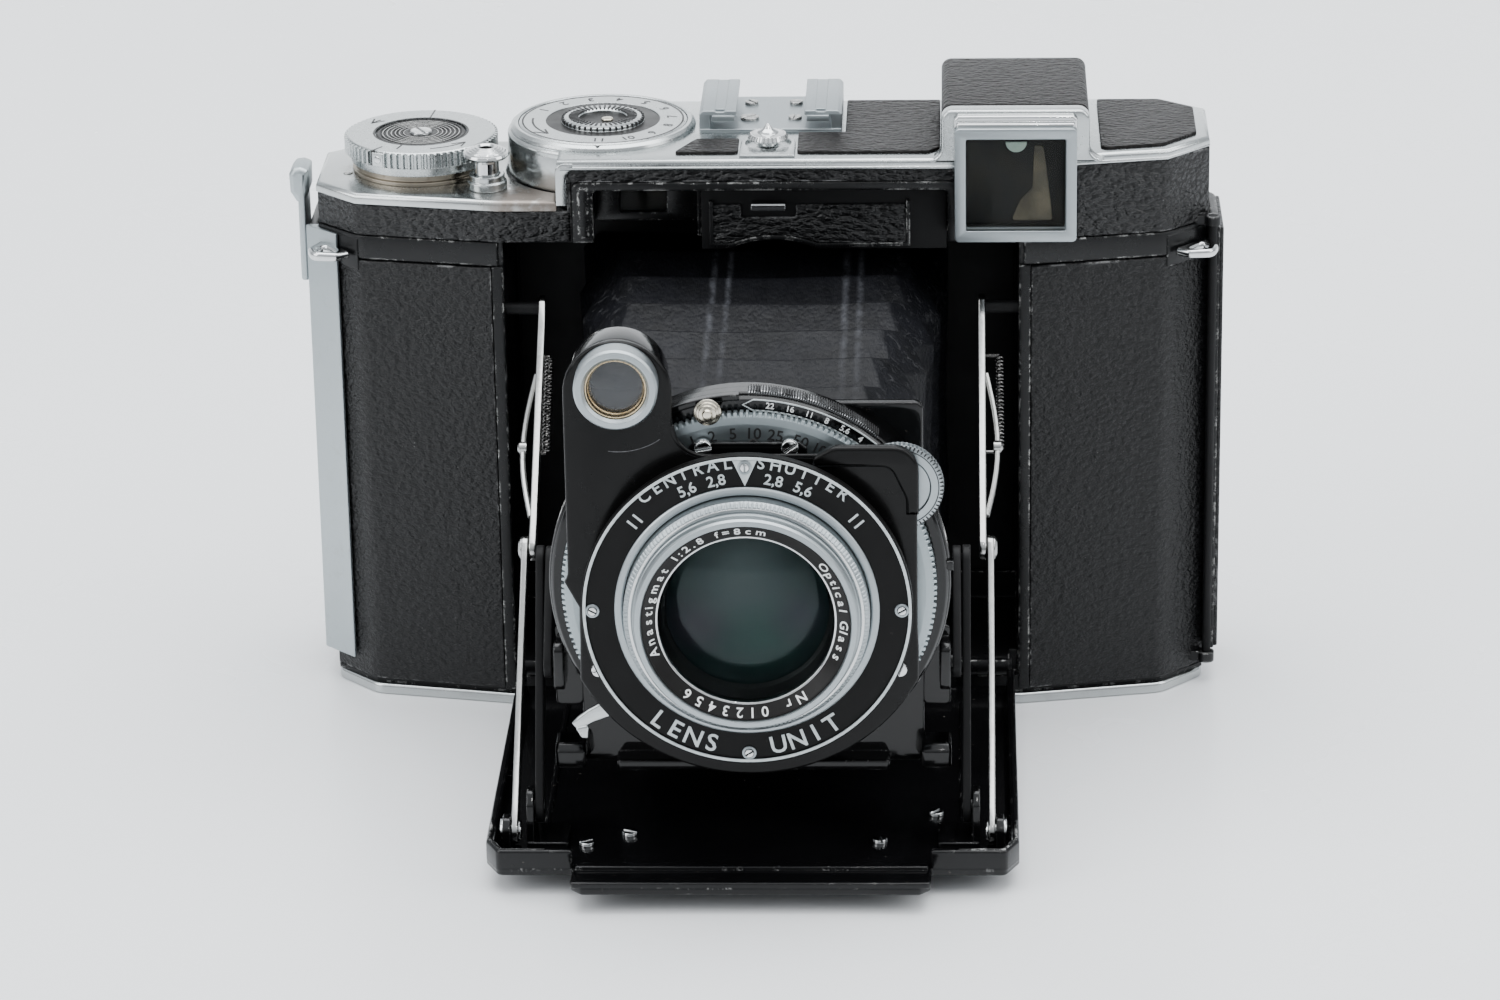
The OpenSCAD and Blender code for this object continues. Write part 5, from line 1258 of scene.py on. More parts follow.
# black cover plate with the rangefinder arm
CO = arc(0, 44.7, 27.3, 205, 335, 40)
CO += rpoly([(24.75, 33.2), (24.2, 38), (24.2, 66.5), (-10.3, 66.5), (-10.3, 76)], 0, 1)[1:2]
right = [(24.2, 40.0)] + arc(20.7, 63.0, 3.5, 0, 90, 8) + arc(-5.5, 71.3, 4.8, 270, 180, 10) + [(-10.3, 76.0)] + arc(-18, 76.0, 7.7, 0, 180, 26) + [(-25.7, 49.0)] + arc(-29.0, 49.0, 3.3, 0, -32, 4)[1:] + [(-24.2, 43.4), (-24.2, 38.0)]
outl = clean(arc(0, 44.7, 27.3, 207, 333, 44) + [(24.35, 37.0)] + right)
plate("cover_front", [outl, circle(0, 44.7, 17.85, 72), circle(-18, 77.6, 4.5, 32)], -66.6, -65.4, "cover", LS, "XZ", bev=0.45, bot=0.1, res=4, replaces=("cover_plate",))
# rolled inner edge over the speed window
multi("cover_lip", [sweep([(22.4, -66.2, 66.2), (20, -66.3, 66.45), (-4.0, -66.3, 66.45)] + [(x, -66.3, z - 0.05) for x, z in arc(-5.5, 71.3, 4.85, 270, 182, 10)], 0.34, 10)], "cover", LS)
# hump over the wheel gear
hump = rpoly([(24.45, 57.6), (24.45, 67.95), (12.4, 67.95), (9.4, 66.35), (9.4, 64.9), (20.4, 64.9), (22.6, 60.0), (22.6, 57.6)], [0.2, 3.7, 3.0, 2.0, 0.3, 2.0, 2.0, 0.2], 8)
multi("cover_hump", [pp([hump], -67.0, -65.2, 0.55, "XZ", 0, 4)], "cover", LS)
# walls that tie the plate to the shutter
parts = [pp([rpoly([(-25.2, 60.5), (-10.9, 68.5), (-10.9, 76), (-25.2, 76)], [1.5, 1, 0, 0], 4)], -65.5, -63.65, 0.2, "XZ")]
ho = clean([(-25.0, 72.2), (-11.0, 72.2), (-11.0, 76.6)] + arc(-18, 76.6, 7.0, 0, 180, 26))
parts.append(pp([ho, circle(-18, 77.6, 4.45, 32)], -65.5, -58.9, 0.9, "XZ", 0, 5))
multi("arm_housing", parts, "enamel", LS, replaces=("rangefinder_housing",))
pr = [(4.4, -66.5), (5.95, -66.5), (5.95, -69.55), (5.65, -69.95), (4.85, -70.0), (4.4, -69.5)]
lathe("arm_ring", pr, (-18, 77.6), "alu", LS, "Y", 96, 0.12)
lathe("arm_gold", [(3.6, -66.4), (4.35, -66.4), (4.35, -69.3), (4.15, -69.35), (4.0, -68.6), (3.85, -68.4), (3.75, -67.6), (3.6, -67.4)], (-18, 77.6), "brass", "rangefinder_wedge", "Y", 72, 0.05)
lathe("arm_wedge", [(0, -66.75), (4.0, -66.75), (4.0, -68.1), (0, -68.55)], (-18, 77.6), "wedge", "rangefinder_wedge", "Y", 72, 0.1, replaces=("rangefinder_wedge",))
# disc behind the wedge with the same painted depth shade as the iris plate
lathe("arm_back", [(0, -59.4), (4.3, -59.4), (4.3, -59.9), (0, -59.9)], (-18, 77.6), "depth", LS, "Y", 48, 0.05)
# faint crescent where a ring has rubbed the arm
parts = [band((-18, 77.6), 10.3, 10.38, 262, 305, -66.66, -66.59, 24)]
multi("arm_rub", parts, "rub", LS)

# faceplate, generic aperture figures, silver borders
pr = [(17.7, -69.4), (23.45, -69.4), (23.6, -69.6), (23.6, -70.9), (23.35, -71.05), (23.0, -71.05), (22.85, -70.72), (18.95, -70.72), (17.7, -70.72)]
lathe("faceplate_disc", pr, c, "face", LS, "Y", 192, 0.06, replaces=("faceplate",))
lathe("faceplate_border", [(22.95, -70.8), (23.38, -70.8), (23.38, -71.12), (22.95, -71.12)], c, "silver", LS, "Y", 192, 0.05)
lathe("faceplate_inner", [(17.65, -70.6), (18.85, -70.6), (18.85, -71.05), (18.6, -71.25), (17.9, -71.25), (17.65, -71.1)], c, "alu", LS, "Y", 192, 0.08)
parts = [pp([[(-1.75, 67.5), (0, 63.6), (1.75, 67.5)]], -70.82, -70.68, 0.02, "XZ", 0, 1)]
multi("face_index", parts, "silver", LS)
items = []
for t, a in (("2,8", 11.6), ("5,6", 24.0), ("8", 37.5), ("11", 49.0), ("16", 62.0), ("22", 77.0)):
    for s in (-1, 1):
        if t in ("2,8", "5,6", "11"):
            items.append((t, 2.25 if t != "11" else 2.5, on_ring(c, 20.05 if t != "11" else 20.6, 90 - s * a, -70.74)))
def word(txt, start, step, size, r, flip=False):
    for i_, ch in enumerate(txt):
        items.append((ch, size, on_ring(c, r, start + i_ * step, -70.74, flip)))
word("CENTRAL", 129.5, -5.55, 2.4, 22.35)
word("SHUTTER", 84.0, -5.35, 2.4, 22.35)
word("LENS", 232.5, 7.6, 3.7, 21.25, True)
word("UNIT", 281.5, 7.6, 3.7, 21.25, True)
glyphs("face_figures", items, "silver", LS, 0.10)
parts, cup = [], []
for i, a in enumerate((0, 90, 180, 270)):
    p = (22.0 * math.cos(math.radians(a)), 44.7 + 22.0 * math.sin(math.radians(a)))
    if a == 90:
        p = (0, 66.45)
    parts += screw(p, "Y", -70.0, -71.2, 0.62, 30 + 61 * i, w=0.16)
    cup.append(pt([(0.66, -70.5), (1.02, -70.5), (1.02, -70.95), (0.7, -71.05)], p, "Y", 36, 0.05))
for i, x in enumerate((-21.6, 21.6)):
    parts += screw((x, 34), "Y", -66.5, -67.3, 1.05, 20 + 50 * i)
multi("face_screws", parts, "bright", LS, replaces=("faceplate_screws",))
multi("face_cups", cup, "alu", LS)
parts = []
for i, x in enumerate((-6.1, 6.2)):
    parts += screw((x, 67.0), "Y", -63.7, -65.0, 1.25, 10 + 25 * i, dome=0.6)
multi("window_screws", parts, "bright", LS)
multi("window_bracket", [pp([rpoly([(-8.2, 64.5), (8.6, 64.5), (8.6, 66.9), (7.6, 67.7), (-7.4, 67.7), (-8.2, 66.9)], 0.3, 3)], -64.2, -63.4, 0.2, "XZ")], "enamel", LS)
multi("window_mark", [pp([[(1.0, 68.2), (0.35, 67.7), (1.0, 67.2), (1.65, 67.7)], [(1.0, 67.9), (0.75, 67.7), (1.0, 67.5), (1.25, 67.7)]], -64.0, -63.5, 0.02, "XZ", 0, 1)], "ink", LS)

# focusing front cell
FCELL = "front_cell"
lathe("focus_ring_body", [(17.75, -66.8), (20.2, -66.8), (20.2, -68.6), (19.9, -68.9), (17.75, -68.9)], c, "alu", FCELL, "Y", 40 * 6, 0.1, rmod=tooth(40, 0.25, -68.5, -66.9, 20.1, 0.5), replaces=("focus_ring",))
pr = [(14.3, -69.5), (17.5, -69.5), (17.5, -73.1), (17.3, -73.35, 0.03), (16.9, -73.75, 0.03), (16.2, -73.85), (16.15, -74.5), (16.0, -74.6), (15.95, -75.9), (15.7, -76.35), (15.0, -76.4), (14.85, -76.1), (14.85, -75.4), (14.3, -75.3)]
lathe("bezel", pr, c, "alu", FCELL, "Y", 170 * 6, 0.08, rmod=tooth(170, 0.16, -73.8, -73.3, 16.85, 0.5), replaces=("lens_bezel",))
lathe("bezel_groove", [(16.35, -73.8), (16.75, -73.8), (16.75, -73.95), (16.35, -73.95)], c, "bright", FCELL, "Y", 144, 0.03)
# black name ring, with generic figures only
pr = [(12.75, -73.4), (14.9, -73.4), (14.9, -75.75), (14.6, -75.7), (12.95, -74.6), (12.75, -74.35)]
lathe("name_ring", pr, c, "disc", FCELL, "Y", 144, 0.05)
slope = math.atan2(1.1, 1.65)
def on_cone(r, deg, y, flip=False):
    m_ = on_ring((0, 0), 0, deg, 0, flip)
    tilt = Matrix.Rotation(slope if not flip else -slope, 4, "X")
    a = math.radians(deg)
    T = Matrix.Translation(Vector((c[0] + r * math.cos(a), y, c[1] + r * math.sin(a))))
    return T @ m_ @ tilt
items = []
def along(txt, start, step, size, r=13.8, y=-75.22):
    for i, ch in enumerate(txt):
        if ch != " ":
            items.append((ch, size, on_cone(r, start - i * step, y)))
WIDE = {"i": 0.5, "l": 0.5, "t": 0.7, ".": 0.5, ":": 0.5, "1": 0.8, " ": 0.8, "m": 1.35, "A": 1.1, "f": 0.65, "=": 1.1}
def around(txt, start, end, size):
    tot = sum(WIDE.get(ch, 1.0) for ch in txt)
    a_ = start
    for ch in txt:
        w_ = WIDE.get(ch, 1.0) / tot * (start - end)
        if ch != " ":
            items.append((ch, size, on_cone(13.8, a_ - w_ / 2, -75.24)))
        a_ -= w_
around("Anastigmat 1:2.8 f=8cm", 203, 76, 1.95)
around("Optical Glass", 40, -26, 1.95)
around("Nr 0123456", -52, -132, 2.1)
glyphs("name_ring_figures", items, "white", FCELL, 0.06)
# front element and inner elements
pr = [(0, -75.95)] + [(12.95 * i / 14, -74.2 - 1.75 * (1 - (i / 14) ** 2)) for i in range(1, 15)] + [(12.95, -71.6)] + [(12.95 * (1 - i / 8), -71.6 - 1.2 * (1 - (1 - i / 8) ** 2)) for i in range(1, 8)] + [(0, -72.8)]
multi("front_element", [fix(turn(pr, c, "Y", 96))], "lens", FCELL, replaces=("front_lens",))
pr = [(0, -69.9)] + [(11.2 * i / 10, -69.0 - 0.9 * (1 - (i / 10) ** 2)) for i in range(1, 11)] + [(11.2, -66.8), (0, -66.8)]
lathe("retaining_ring", [(12.45, -73.9), (12.95, -73.9), (12.98, -74.5), (12.8, -74.72), (12.55, -74.6)], c, "bright", FCELL, "Y", 144, 0.08)
# opaque dome in place of the inner glass; its colours are painted reflections and painted shade, not seen through glass
multi("second_element", [fix(turn([(0, -71.9)] + [(11.6 * i / 14, -69.9 - 2.0 * (1 - (i / 14) ** 2)) for i in range(1, 15)] + [(11.6, -69.7), (11.2, -69.6), (11.2, -66.8), (0, -66.8)], c, "Y", 96))], "dome", FCELL)
lathe("cell_wall", [(11.4, -66.6), (14.2, -66.6), (14.2, -71.5), (13.1, -71.5), (12.2, -70.2), (11.4, -69.6)], c, "face", FCELL, "Y", 96, 0.1)
# thin disc behind the glass that carries the painted depth shade and painted reflections of the lens
pr = [(0, -63.4), (11.0, -63.4), (11.0, -63.9), (9.2, -63.6), (9.2, -63.5), (0, -63.5)]
multi("iris_plate", [fix(turn(pr, c, "Y", 72))], "depth", FCELL)
lathe("iris_edge", [(8.4, -64.4), (11.3, -64.4), (11.3, -64.9), (8.7, -64.6)], c, "steel", FCELL, "Y", 72, 0.05)

# focusing wheel
w = (21.6, 61.2)
pr = [(0, -63.55), (5.9, -63.55), (6.4, -63.7, 0.04), (6.4, -65.0, 0.04), (5.9, -65.15), (4.6, -65.2), (4.4, -65.0), (1.3, -65.0), (1.3, -65.9), (0, -65.95)]
lathe("wheel", pr, w, "alu", "focus_wheel", "Y", 64 * 6, 0.06, rmod=tooth(64, 0.35, -65.02, -63.68, 6.3, 0.5), replaces=("focus_wheel",))
parts = []
for i in range(64):
    a_ = i * 360 / 64 + 0.4
    parts.append(pp([arc(w[0], w[1], 6.38, a_, a_ + 2.2, 2) + arc(w[0], w[1], 5.85, a_ + 2.0, a_ + 0.2, 2)], -65.17, -63.7, 0.01, "XZ", 0, 1))
parts.append(pp([circle(w[0], w[1], 5.75, 96), circle(w[0], w[1], 5.6, 96)], -65.2, -65.1, 0.01, "XZ", 0, 1))
multi("wheel_cuts", parts, "ink", "focus_wheel")

# release lever, curved, with a pale tip
def ribbon(path, wid, y0, y1, bev):
    L, R_ = [], []
    m = len(path)
    for i in range(m):
        a, b = Vector(path[max(0, i - 1)]), Vector(path[min(m - 1, i + 1)])
        t = (b - a).normalized()
        n_ = Vector((-t.y, t.x))
        w_ = wid[i] if isinstance(wid, list) else wid
        p_ = Vector(path[i])
        L.append(tuple(p_ + n_ * w_))
        R_.append(tuple(p_ - n_ * w_))
    return pp([clean(L + R_[::-1])], y0, y1, bev, "XZ", 0, 3)
path = [(-12.2, 28.3), (-14.6, 28.6), (-17.2, 28.3), (-19.3, 27.9), (-21.2, 27.2), (-22.9, 26.4), (-24.4, 25.4), (-25.4, 24.7)]
parts = [ribbon(path, [1.6, 1.5, 1.35, 1.3, 1.2, 1.05, 0.9, 0.6], -66.2, -65.2, 0.3), pt([(0.9, -63.6), (2.4, -63.6), (2.4, -65.6), (0.9, -65.6)], (-13.2, 28.6), "Y", 48, 0.12)]
parts.append(pp([rpoly([(-25.3, 24.7), (-24.4, 23.0), (-23.4, 22.9), (-23.3, 25.1)], 0.3, 4)], -66.5, -65.0, 0.35, "XZ", 0, 4))
multi("release", parts, "chrome_top", "release_lever", replaces=("release_lever",))

# ---------------------------------------------------------------- linkage
def bar_yz(p, q, rp, rq, x0, x1, bev=0.15, waist=0.0, hole_p=0.0, hole_q=0.0, mi=0):
    p, q = Vector(p), Vector(q)
    d = (q - p).normalized()
    th = math.degrees(math.atan2(d.y, d.x))
    n_ = Vector((-d.y, d.x))
    L = arc(q.x, q.y, rq, th - 90, th + 90, 10)
    if waist:
        L += [tuple(q - d * 3.5 + n_ * waist), tuple(p + d * 3.5 + n_ * waist)]
    L += arc(p.x, p.y, rp, th + 90, th + 270, 10)
    if waist:
        L += [tuple(p + d * 3.5 - n_ * waist), tuple(q - d * 3.5 - n_ * waist)]
    loops = [clean(L)]
    if hole_p:
        loops.append(circle(p.x, p.y, hole_p, 20))
    if hole_q:
        loops.append(circle(q.x, q.y, hole_q, 20))
    return pp(loops, min(x0, x1), max(x0, x1), bev, "YZ", mi)


for node, body, p, q, rp, rq, x0, x1, hp, hq, mat in (
        ("carrier_link_lower", "carrier_lower", P, MJ, 2.4, 2.4, 30.6, 31.8, 1.25, 0, "inner"),
        ("carrier_link_upper", "carrier_upper", MJ, Q, 2.3, 2.3, 29.15, 30.4, 1.25, 1.25, "inner")):
    parts = [bar_yz(p, q, rp, rq, s * x0, s * x1, 0.2, 0, hp, hq) for s in (-1, 1)]
    if node.endswith("lower"):
        parts += [pt([(0, s * 29.1), (1.15, s * 29.1), (1.15, s * 31.4), (0, s * 31.4)], MJ, "X", 24, 0.1) for s in (-1, 1)]
    multi(node + "_bars", parts, mat, body, replaces=(node,))
parts = []
for s in (-1, 1):
    parts.append(bar_yz(A, K, 2.0, 1.9, s * 33.15, s * 34.25, 0.22, 1.35, 1.05, 0))
multi("strut_upper_bars", parts, "strut", "strut_upper", replaces=("strut_upper",))
# bowed lock strips on the upper struts
parts = []
du = (Vector(K) - Vector(A)).normalized()
nu = Vector((-du.y, du.x))
for s in (-1, 1):
    pts = []
    for i in range(13):
        t = i / 12
        b = math.sin(PI * t)
        q = Vector(A) + du * (11.5 + 24.5 * t) + nu * (0.6 + 1.2 * b)
        pts.append((s * (34.3 + 1.7 * b), q.x, q.y))
    parts.append(sweep(pts, 0.45, 8))
    q = Vector(A) + du * 23.5 + nu * 1.8
    parts.append(pt([(0, s * 35.4), (0.95, s * 35.4), (0.95, s * 36.5), (0.6, s * 36.8), (0, s * 36.85)], (q.x, q.y), "X", 28, 0.1))
multi("strut_bows", parts, "strut", "strut_upper")
parts = []
for s in (-1, 1):
    parts.append(bar_yz(K, D, 1.9, 2.0, s * 34.35, s * 35.35, 0.22, 1.35, 0, 1.05))
    parts += [pt([(0, s * 35.0), (1.75, s * 35.0), (1.75, s * 35.5), (1.2, s * 35.85), (0, s * 35.95)], K, "X", 32, 0.12)]
multi("strut_lower_bars", parts, "strut", "strut_lower", replaces=("strut_lower",))
th = math.atan2(K[1] - A[1], K[0] - A[0])
def on_strut(x, t, o):
    return (x, A[0] + math.cos(th) * t - math.sin(th) * o, A[1] + math.sin(th) * t + math.cos(th) * o)
parts = []
for x in (-32.6, 36.4):
    parts.append(coil(on_strut(x, 7.2, 2.9), on_strut(x, 23.6, 2.9), 26, 0.55, 0.13))
    s = 1 if x > 0 else -1
    for t in (7.0, 23.8):
        parts.append(sweep([on_strut(s * 33.8, t, 1.7), on_strut(s * 33.8, t, 2.9), on_strut(x, t, 2.9)], 0.28, 8))
multi("springs", parts, "spring", "strut_upper", replaces=("strut_springs",))
# pivots of the struts on the casing
parts = [pt([(0, s * 33.14), (1.7, s * 33.14), (1.7, s * 33.35), (0, s * 33.35)], A, "X", 32, 0.12) for s in (-1, 1)]
multi("strut_heads", parts, "strut", "casing")

# ---------------------------------------------------------------- front door
FD = "front_door"
pan = [(-38.8, -2.8), (-38.8, -66.4), (-36.8, -70.4), (-26, -70.4), (-26, -75.4), (-24.4, -77), (24.4, -77), (26, -75.4), (26, -70.4), (36.8, -70.4), (38.8, -66.4), (38.8, -2.8)]
parts = [pp([rpoly(pan, [0.3, 1.2, 1.2, 0.5, 0.8, 0.8, 0.8, 0.8, 0.5, 1.2, 1.2, 0.3], 4)], 3.0, 4.2, 0.28)]
for s in (-1, 1):
    rail = rpoly([(s * 38.8, -2.8), (s * 38.8, -66.6), (s * 36.9, -70.4), (s * 26.0, -70.4), (s * 26.0, -69.2), (s * 36.1, -69.2), (s * 37.55, -66.4), (s * 37.55, -2.8)], [0.3, 1.0, 1.0, 0.3, 0.2, 0.6, 0.6, 0.3], 4)
    parts.append(pp([rail], 3.6, 7.0, 0.4, "XY", 0, 4))
    parts.append(pbox((min(s * 22, s * 29.7), -4.4, 3.2), (max(s * 22, s * 29.7), -2.4, 7.6), 0.3))
    parts.append(pbox((min(s * 22, s * 29.7), -2.6, 5.2), (max(s * 22, s * 29.7), -0.6, 8.5), 0.3))
    parts.append(pt([(0.96, s * 22), (1.8, s * 22), (1.8, s * 29.7), (0.96, s * 29.7)], H, "X", 36, 0.12))
    # pressed stiffening bead along each side of the floor
    parts.append(pp([rrect(min(s * 30.2, s * 31.0), -56, max(s * 30.2, s * 31.0), -10, 0.35, 4)], 4.1, 4.55, 0.2))
parts.append(pp([rpoly([(-26, -77.0), (-26, -75.6), (-3.8, -75.6), (-3.2, -76.2), (3.2, -76.2), (3.8, -75.6), (26, -75.6), (26, -77.0)], [0.8, 0.3, 0.2, 0.2, 0.2, 0.2, 0.3, 0.8], 3)], 4.0, 4.95, 0.25))
# low step where the tongue starts
parts.append(pp([rpoly([(-25.6, -71.0), (-25.6, -69.4), (25.6, -69.4), (25.6, -71.0)], 0.3, 3)], 4.1, 4.75, 0.25))
multi("door_pan", parts, "door", FD, replaces=("door_shell",))
# rolled bright-worn corners
parts = []
for s in (-1, 1):
    parts.append(sweep([(s * 38.35, -60, 6.95), (s * 38.3, -66.4, 6.95), (s * 36.6, -69.9, 6.95), (s * 30.0, -69.95, 6.95)], 0.22, 8))
multi("door_roll", parts, "trim", FD)
dl = rpoly([(-36, -4), (-36, -65.6), (-34.4, -68), (34.4, -68), (36, -65.6), (36, -4)], 1.5, 5)
plate("door_covering", [dl], 2.4, 3.0, "leather", FD, bev=0.2, replaces=("door_leather",))
parts = []
for i, p in enumerate([(-18.6, -31.7), (-11, -31.7), (12.4, -31.8), (27.1, -31.8), (26.7, -51.8), (18.5, -61.3), (-18.3, -58.9), (-24.4, -62.4)]):
    parts += screw(p, "Z", 4.15, 4.9, 1.1, 20 + 53 * i, dome=0.5)
multi("door_screw_heads", parts, "bright", FD, replaces=("door_screws",))
parts = []
for s in (-1, 1):
    x0, x1 = s * 32.0, s * 33.1
    parts.append(pp([rpoly([(P[0] - 3.6, 4.2), (P[0] + 3.6, 4.2), (P[0] + 2.6, P[1] + 1.2), (P[0] + 1.2, P[1] + 2.8), (P[0] - 1.2, P[1] + 2.8), (P[0] - 2.6, P[1] + 1.2)], [0.2, 0.2, 1, 1, 1, 1], 4)], min(x0, x1), max(x0, x1), 0.2, "YZ"))
    parts.append(pbox((min(s * 27, s * 33.1), P[0] - 3.6, 4.2), (max(s * 27, s * 33.1), P[0] + 3.6, 5.2), 0.2, r=0.4))
    parts.append(pt([(0, s * 30.5), (1.15, s * 30.5), (1.15, s * 33.0), (0, s * 33.0)], P, "X", 24, 0.1))
    parts.append(pp([rpoly([(D[0] - 2.6, 4.2), (D[0] + 2.6, 4.2), (D[0] + 2.2, D[1] + 1.0), (D[0] + 1.0, D[1] + 2.2), (D[0] - 1.0, D[1] + 2.2), (D[0] - 2.2, D[1] + 1.0)], [0.2, 0.2, 0.8, 0.8, 0.8, 0.8], 4)], min(s * 35.4, s * 36.6), max(s * 35.4, s * 36.6), 0.15, "YZ"))
multi("door_feet", parts, "enamel", FD, replaces=("door_brackets",))
parts = []
for s in (-1, 1):
    parts.append(pt([(0, s * 34.2), (1.0, s * 34.2), (1.0, s * 36.4), (0, s * 36.4)], D, "X", 24, 0.1))
    parts.append(pt([(0, s * 36.5), (1.9, s * 36.5), (1.7, s * 36.95), (0.9, s * 37.2), (0, s * 37.25)], D, "X", 36, 0.12))
    parts.append(pt([(0, s * 34.3), (1.6, s * 34.3), (1.4, s * 33.95), (0, s * 33.8)], D, "X", 32, 0.1))
multi("door_rivets", parts, "bright", FD)
# rounded black blocks near the struts' feet
parts = []
for s in (-1, 1):
    parts.append(pp([rpoly([(-57.6, 14.2), (-51.2, 14.2), (-51.2, 16.6), (-52.4, 18.0), (-56.6, 18.0), (-57.6, 17.0)], 0.8, 4)], min(s * 24.5, s * 29.0), max(s * 24.5, s * 29.0), 0.6, "YZ", 0, 4))
multi("standard_blocks", parts, "enamel", LS)

# ---------------------------------------------------------------- back
o = [(-70.4, 12.3), (-70.4, 26.4), (-62.6, 33.3), (62.6, 33.3), (70.4, 26.4), (70.4, 9.4), (69.05, 9.4), (69.05, 25.8), (62.1, 31.8), (-62.1, 31.8), (-69.05, 25.8), (-69.05, 12.3)]
parts = [pp([rpoly(o, [0.4, 3, 3, 3, 3, 0.4, 0.4, 2, 2, 2, 2, 0.4], 5)], 5.3, 75.4, 0.3)]
o2 = [(-62.6, 33.3), (62.6, 33.3), (66, 30.3), (65.2, 29.2), (62.1, 31.8), (-62.1, 31.8), (-65.2, 29.2), (-66, 30.3)]
parts.append(pp([rpoly(o2, 0.3, 2)], 2.2, 80.9, 0.3))
parts.append(pbox((-60.6, 29.4, 77.6), (45, 32, 78.7), 0.1))
parts.append(pbox((-60.6, 29.4, 10.3), (45, 32, 11.4), 0.1))
multi("back_shell", parts, "case", "back", replaces=("back_cover",))
# bare worn metal along the back's left edge, leather along the right
plate("corner_metal", [rpoly([(-70.75, 12.1), (-70.75, 11.55), (-65.7, 6.75), (-65.35, 7.15), (-68.72, 10.7), (-68.72, 12.1)], [0.2, 0.5, 0.2, 0.1, 0.2, 0.1], 4)], 5.0, 75.6, "side_metal", "casing", bev=0.15)
multi("back_edge_left", [pp([rpoly([(-70.72, 12.4), (-70.72, 14.2), (-70.3, 14.2), (-70.3, 12.4)], 0.12, 3)], 5.2, 74.3, 0.12)], "side_metal", "back")
plate("back_side_leather", [rpoly([(-70.72, 14.5), (-70.72, 25.9), (-70.3, 25.9), (-70.3, 14.5)], 0.15, 3)], 6.2, 74.5, "leather", "back", bev=0.12)
plate("back_edge_right", [rpoly([(70.3, 9.6), (70.3, 26.2), (70.95, 25.9), (70.95, 9.9)], 0.25, 3)], 5.6, 75.1, "leather", "back", bev=0.2)
bl = [rpoly([(-61.8, 2.8), (61.8, 2.8), (61.8, 80.3), (-61.8, 80.3)], 1.2, 4), rrect(-22, 24.6, 22.8, 35.4, 0.5)]
plate("back_covering", bl, 33.25, 33.9, "leather", "back", "XZ", bev=0.25, replaces=("back_leather",))
plate("window_slide", [rrect(-21.5, 25.4, 15.4, 34.6, 0.8), circle(-17, 30, 3.4, 32), circle(3, 30, 3.4, 32)], 33.36, 34.0, "steel", "window_cover", "XZ", bev=0.15, replaces=("window_cover",))
rbox("window_thumb", (-8, 33.9, 27), (-6, 34.6, 33), "steel", "window_cover", 0.25)
bz = [pt([(3.45, 33.2), (4.1, 33.2), (4.1, 33.32), (3.45, 33.32)], (x, 30), "Y", 48, 0.05) for x in (-10, 10)]
multi("window_rims", bz, "steel", "back")
lt = rpoly([(12.6, 66.0), (19.4, 66.0), (19.2, 81.6), (18.2, 83.6), (16.0, 84.2), (13.8, 83.6), (12.8, 81.6)], [0.8, 0.8, 1.5, 1.8, 1.8, 1.8, 1.5], 5)
plate("latch_plate", [lt], -72.0, -70.8, "side_metal", "back_latch", "YZ", bev=0.4, res=4, replaces=("back_latch",))
multi("latch_head", [pp([rpoly([(-73.3, 83.3), (-73.2, 80.4), (-72.2, 78.7), (-71.0, 78.5), (-70.3, 80.5), (-70.2, 83.9), (-71.4, 84.4), (-72.6, 84.2)], [0.8, 0.8, 0.8, 0.3, 0.6, 0.4, 0.6, 0.6], 4)], 12.8, 19.2, 0.9, "XZ", 0, 5)], "side_metal", "back_latch")

# ---------------------------------------------------------------- material slots
SLOTS = {"black_enamel": ["door_pan", "lens_board", "shutter_body", "cover_front", "arm_housing", "carrier_link_lower_bars", "carrier_link_upper_bars", "aperture_ring_body", "door_feet"],
         "casing_paint": ["recess_frame", "recess_wall", "back_shell", "bellows_frame"],
         "leather": ["front_leather_left", "front_leather_right", "band_left", "band_right", "back_covering", "door_covering"],
         "top_leather": ["top_inlays", "finder_housing"],
         "satin_chrome": ["wing_plate", "top_plate", "step_wall", "bottom_rim", "knob_body"],
         "bright_chrome": ["button_cap", "release", "catch"],
         "satin_aluminium": ["finder_frame", "bezel", "speed_ring_body", "wheel"],
         "bellows_leather": ["bellows_skin"],
         # second_element takes the lens_glass slot, though it is an opaque dome with painted reflections and painted
         # shade
         "lens_glass": ["front_element", "second_element", "arm_wedge"]}
HAVE = set((frame["record"].get("materials") or {}).keys()) if isinstance(frame["record"].get("materials"), dict) else set()
for slot, names in SLOTS.items():
    for n_ in names:
        try:
            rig.slot(MADE[n_] if n_ in MADE else bpy.data.objects[n_], slot)
        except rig.FrameError:
            pass

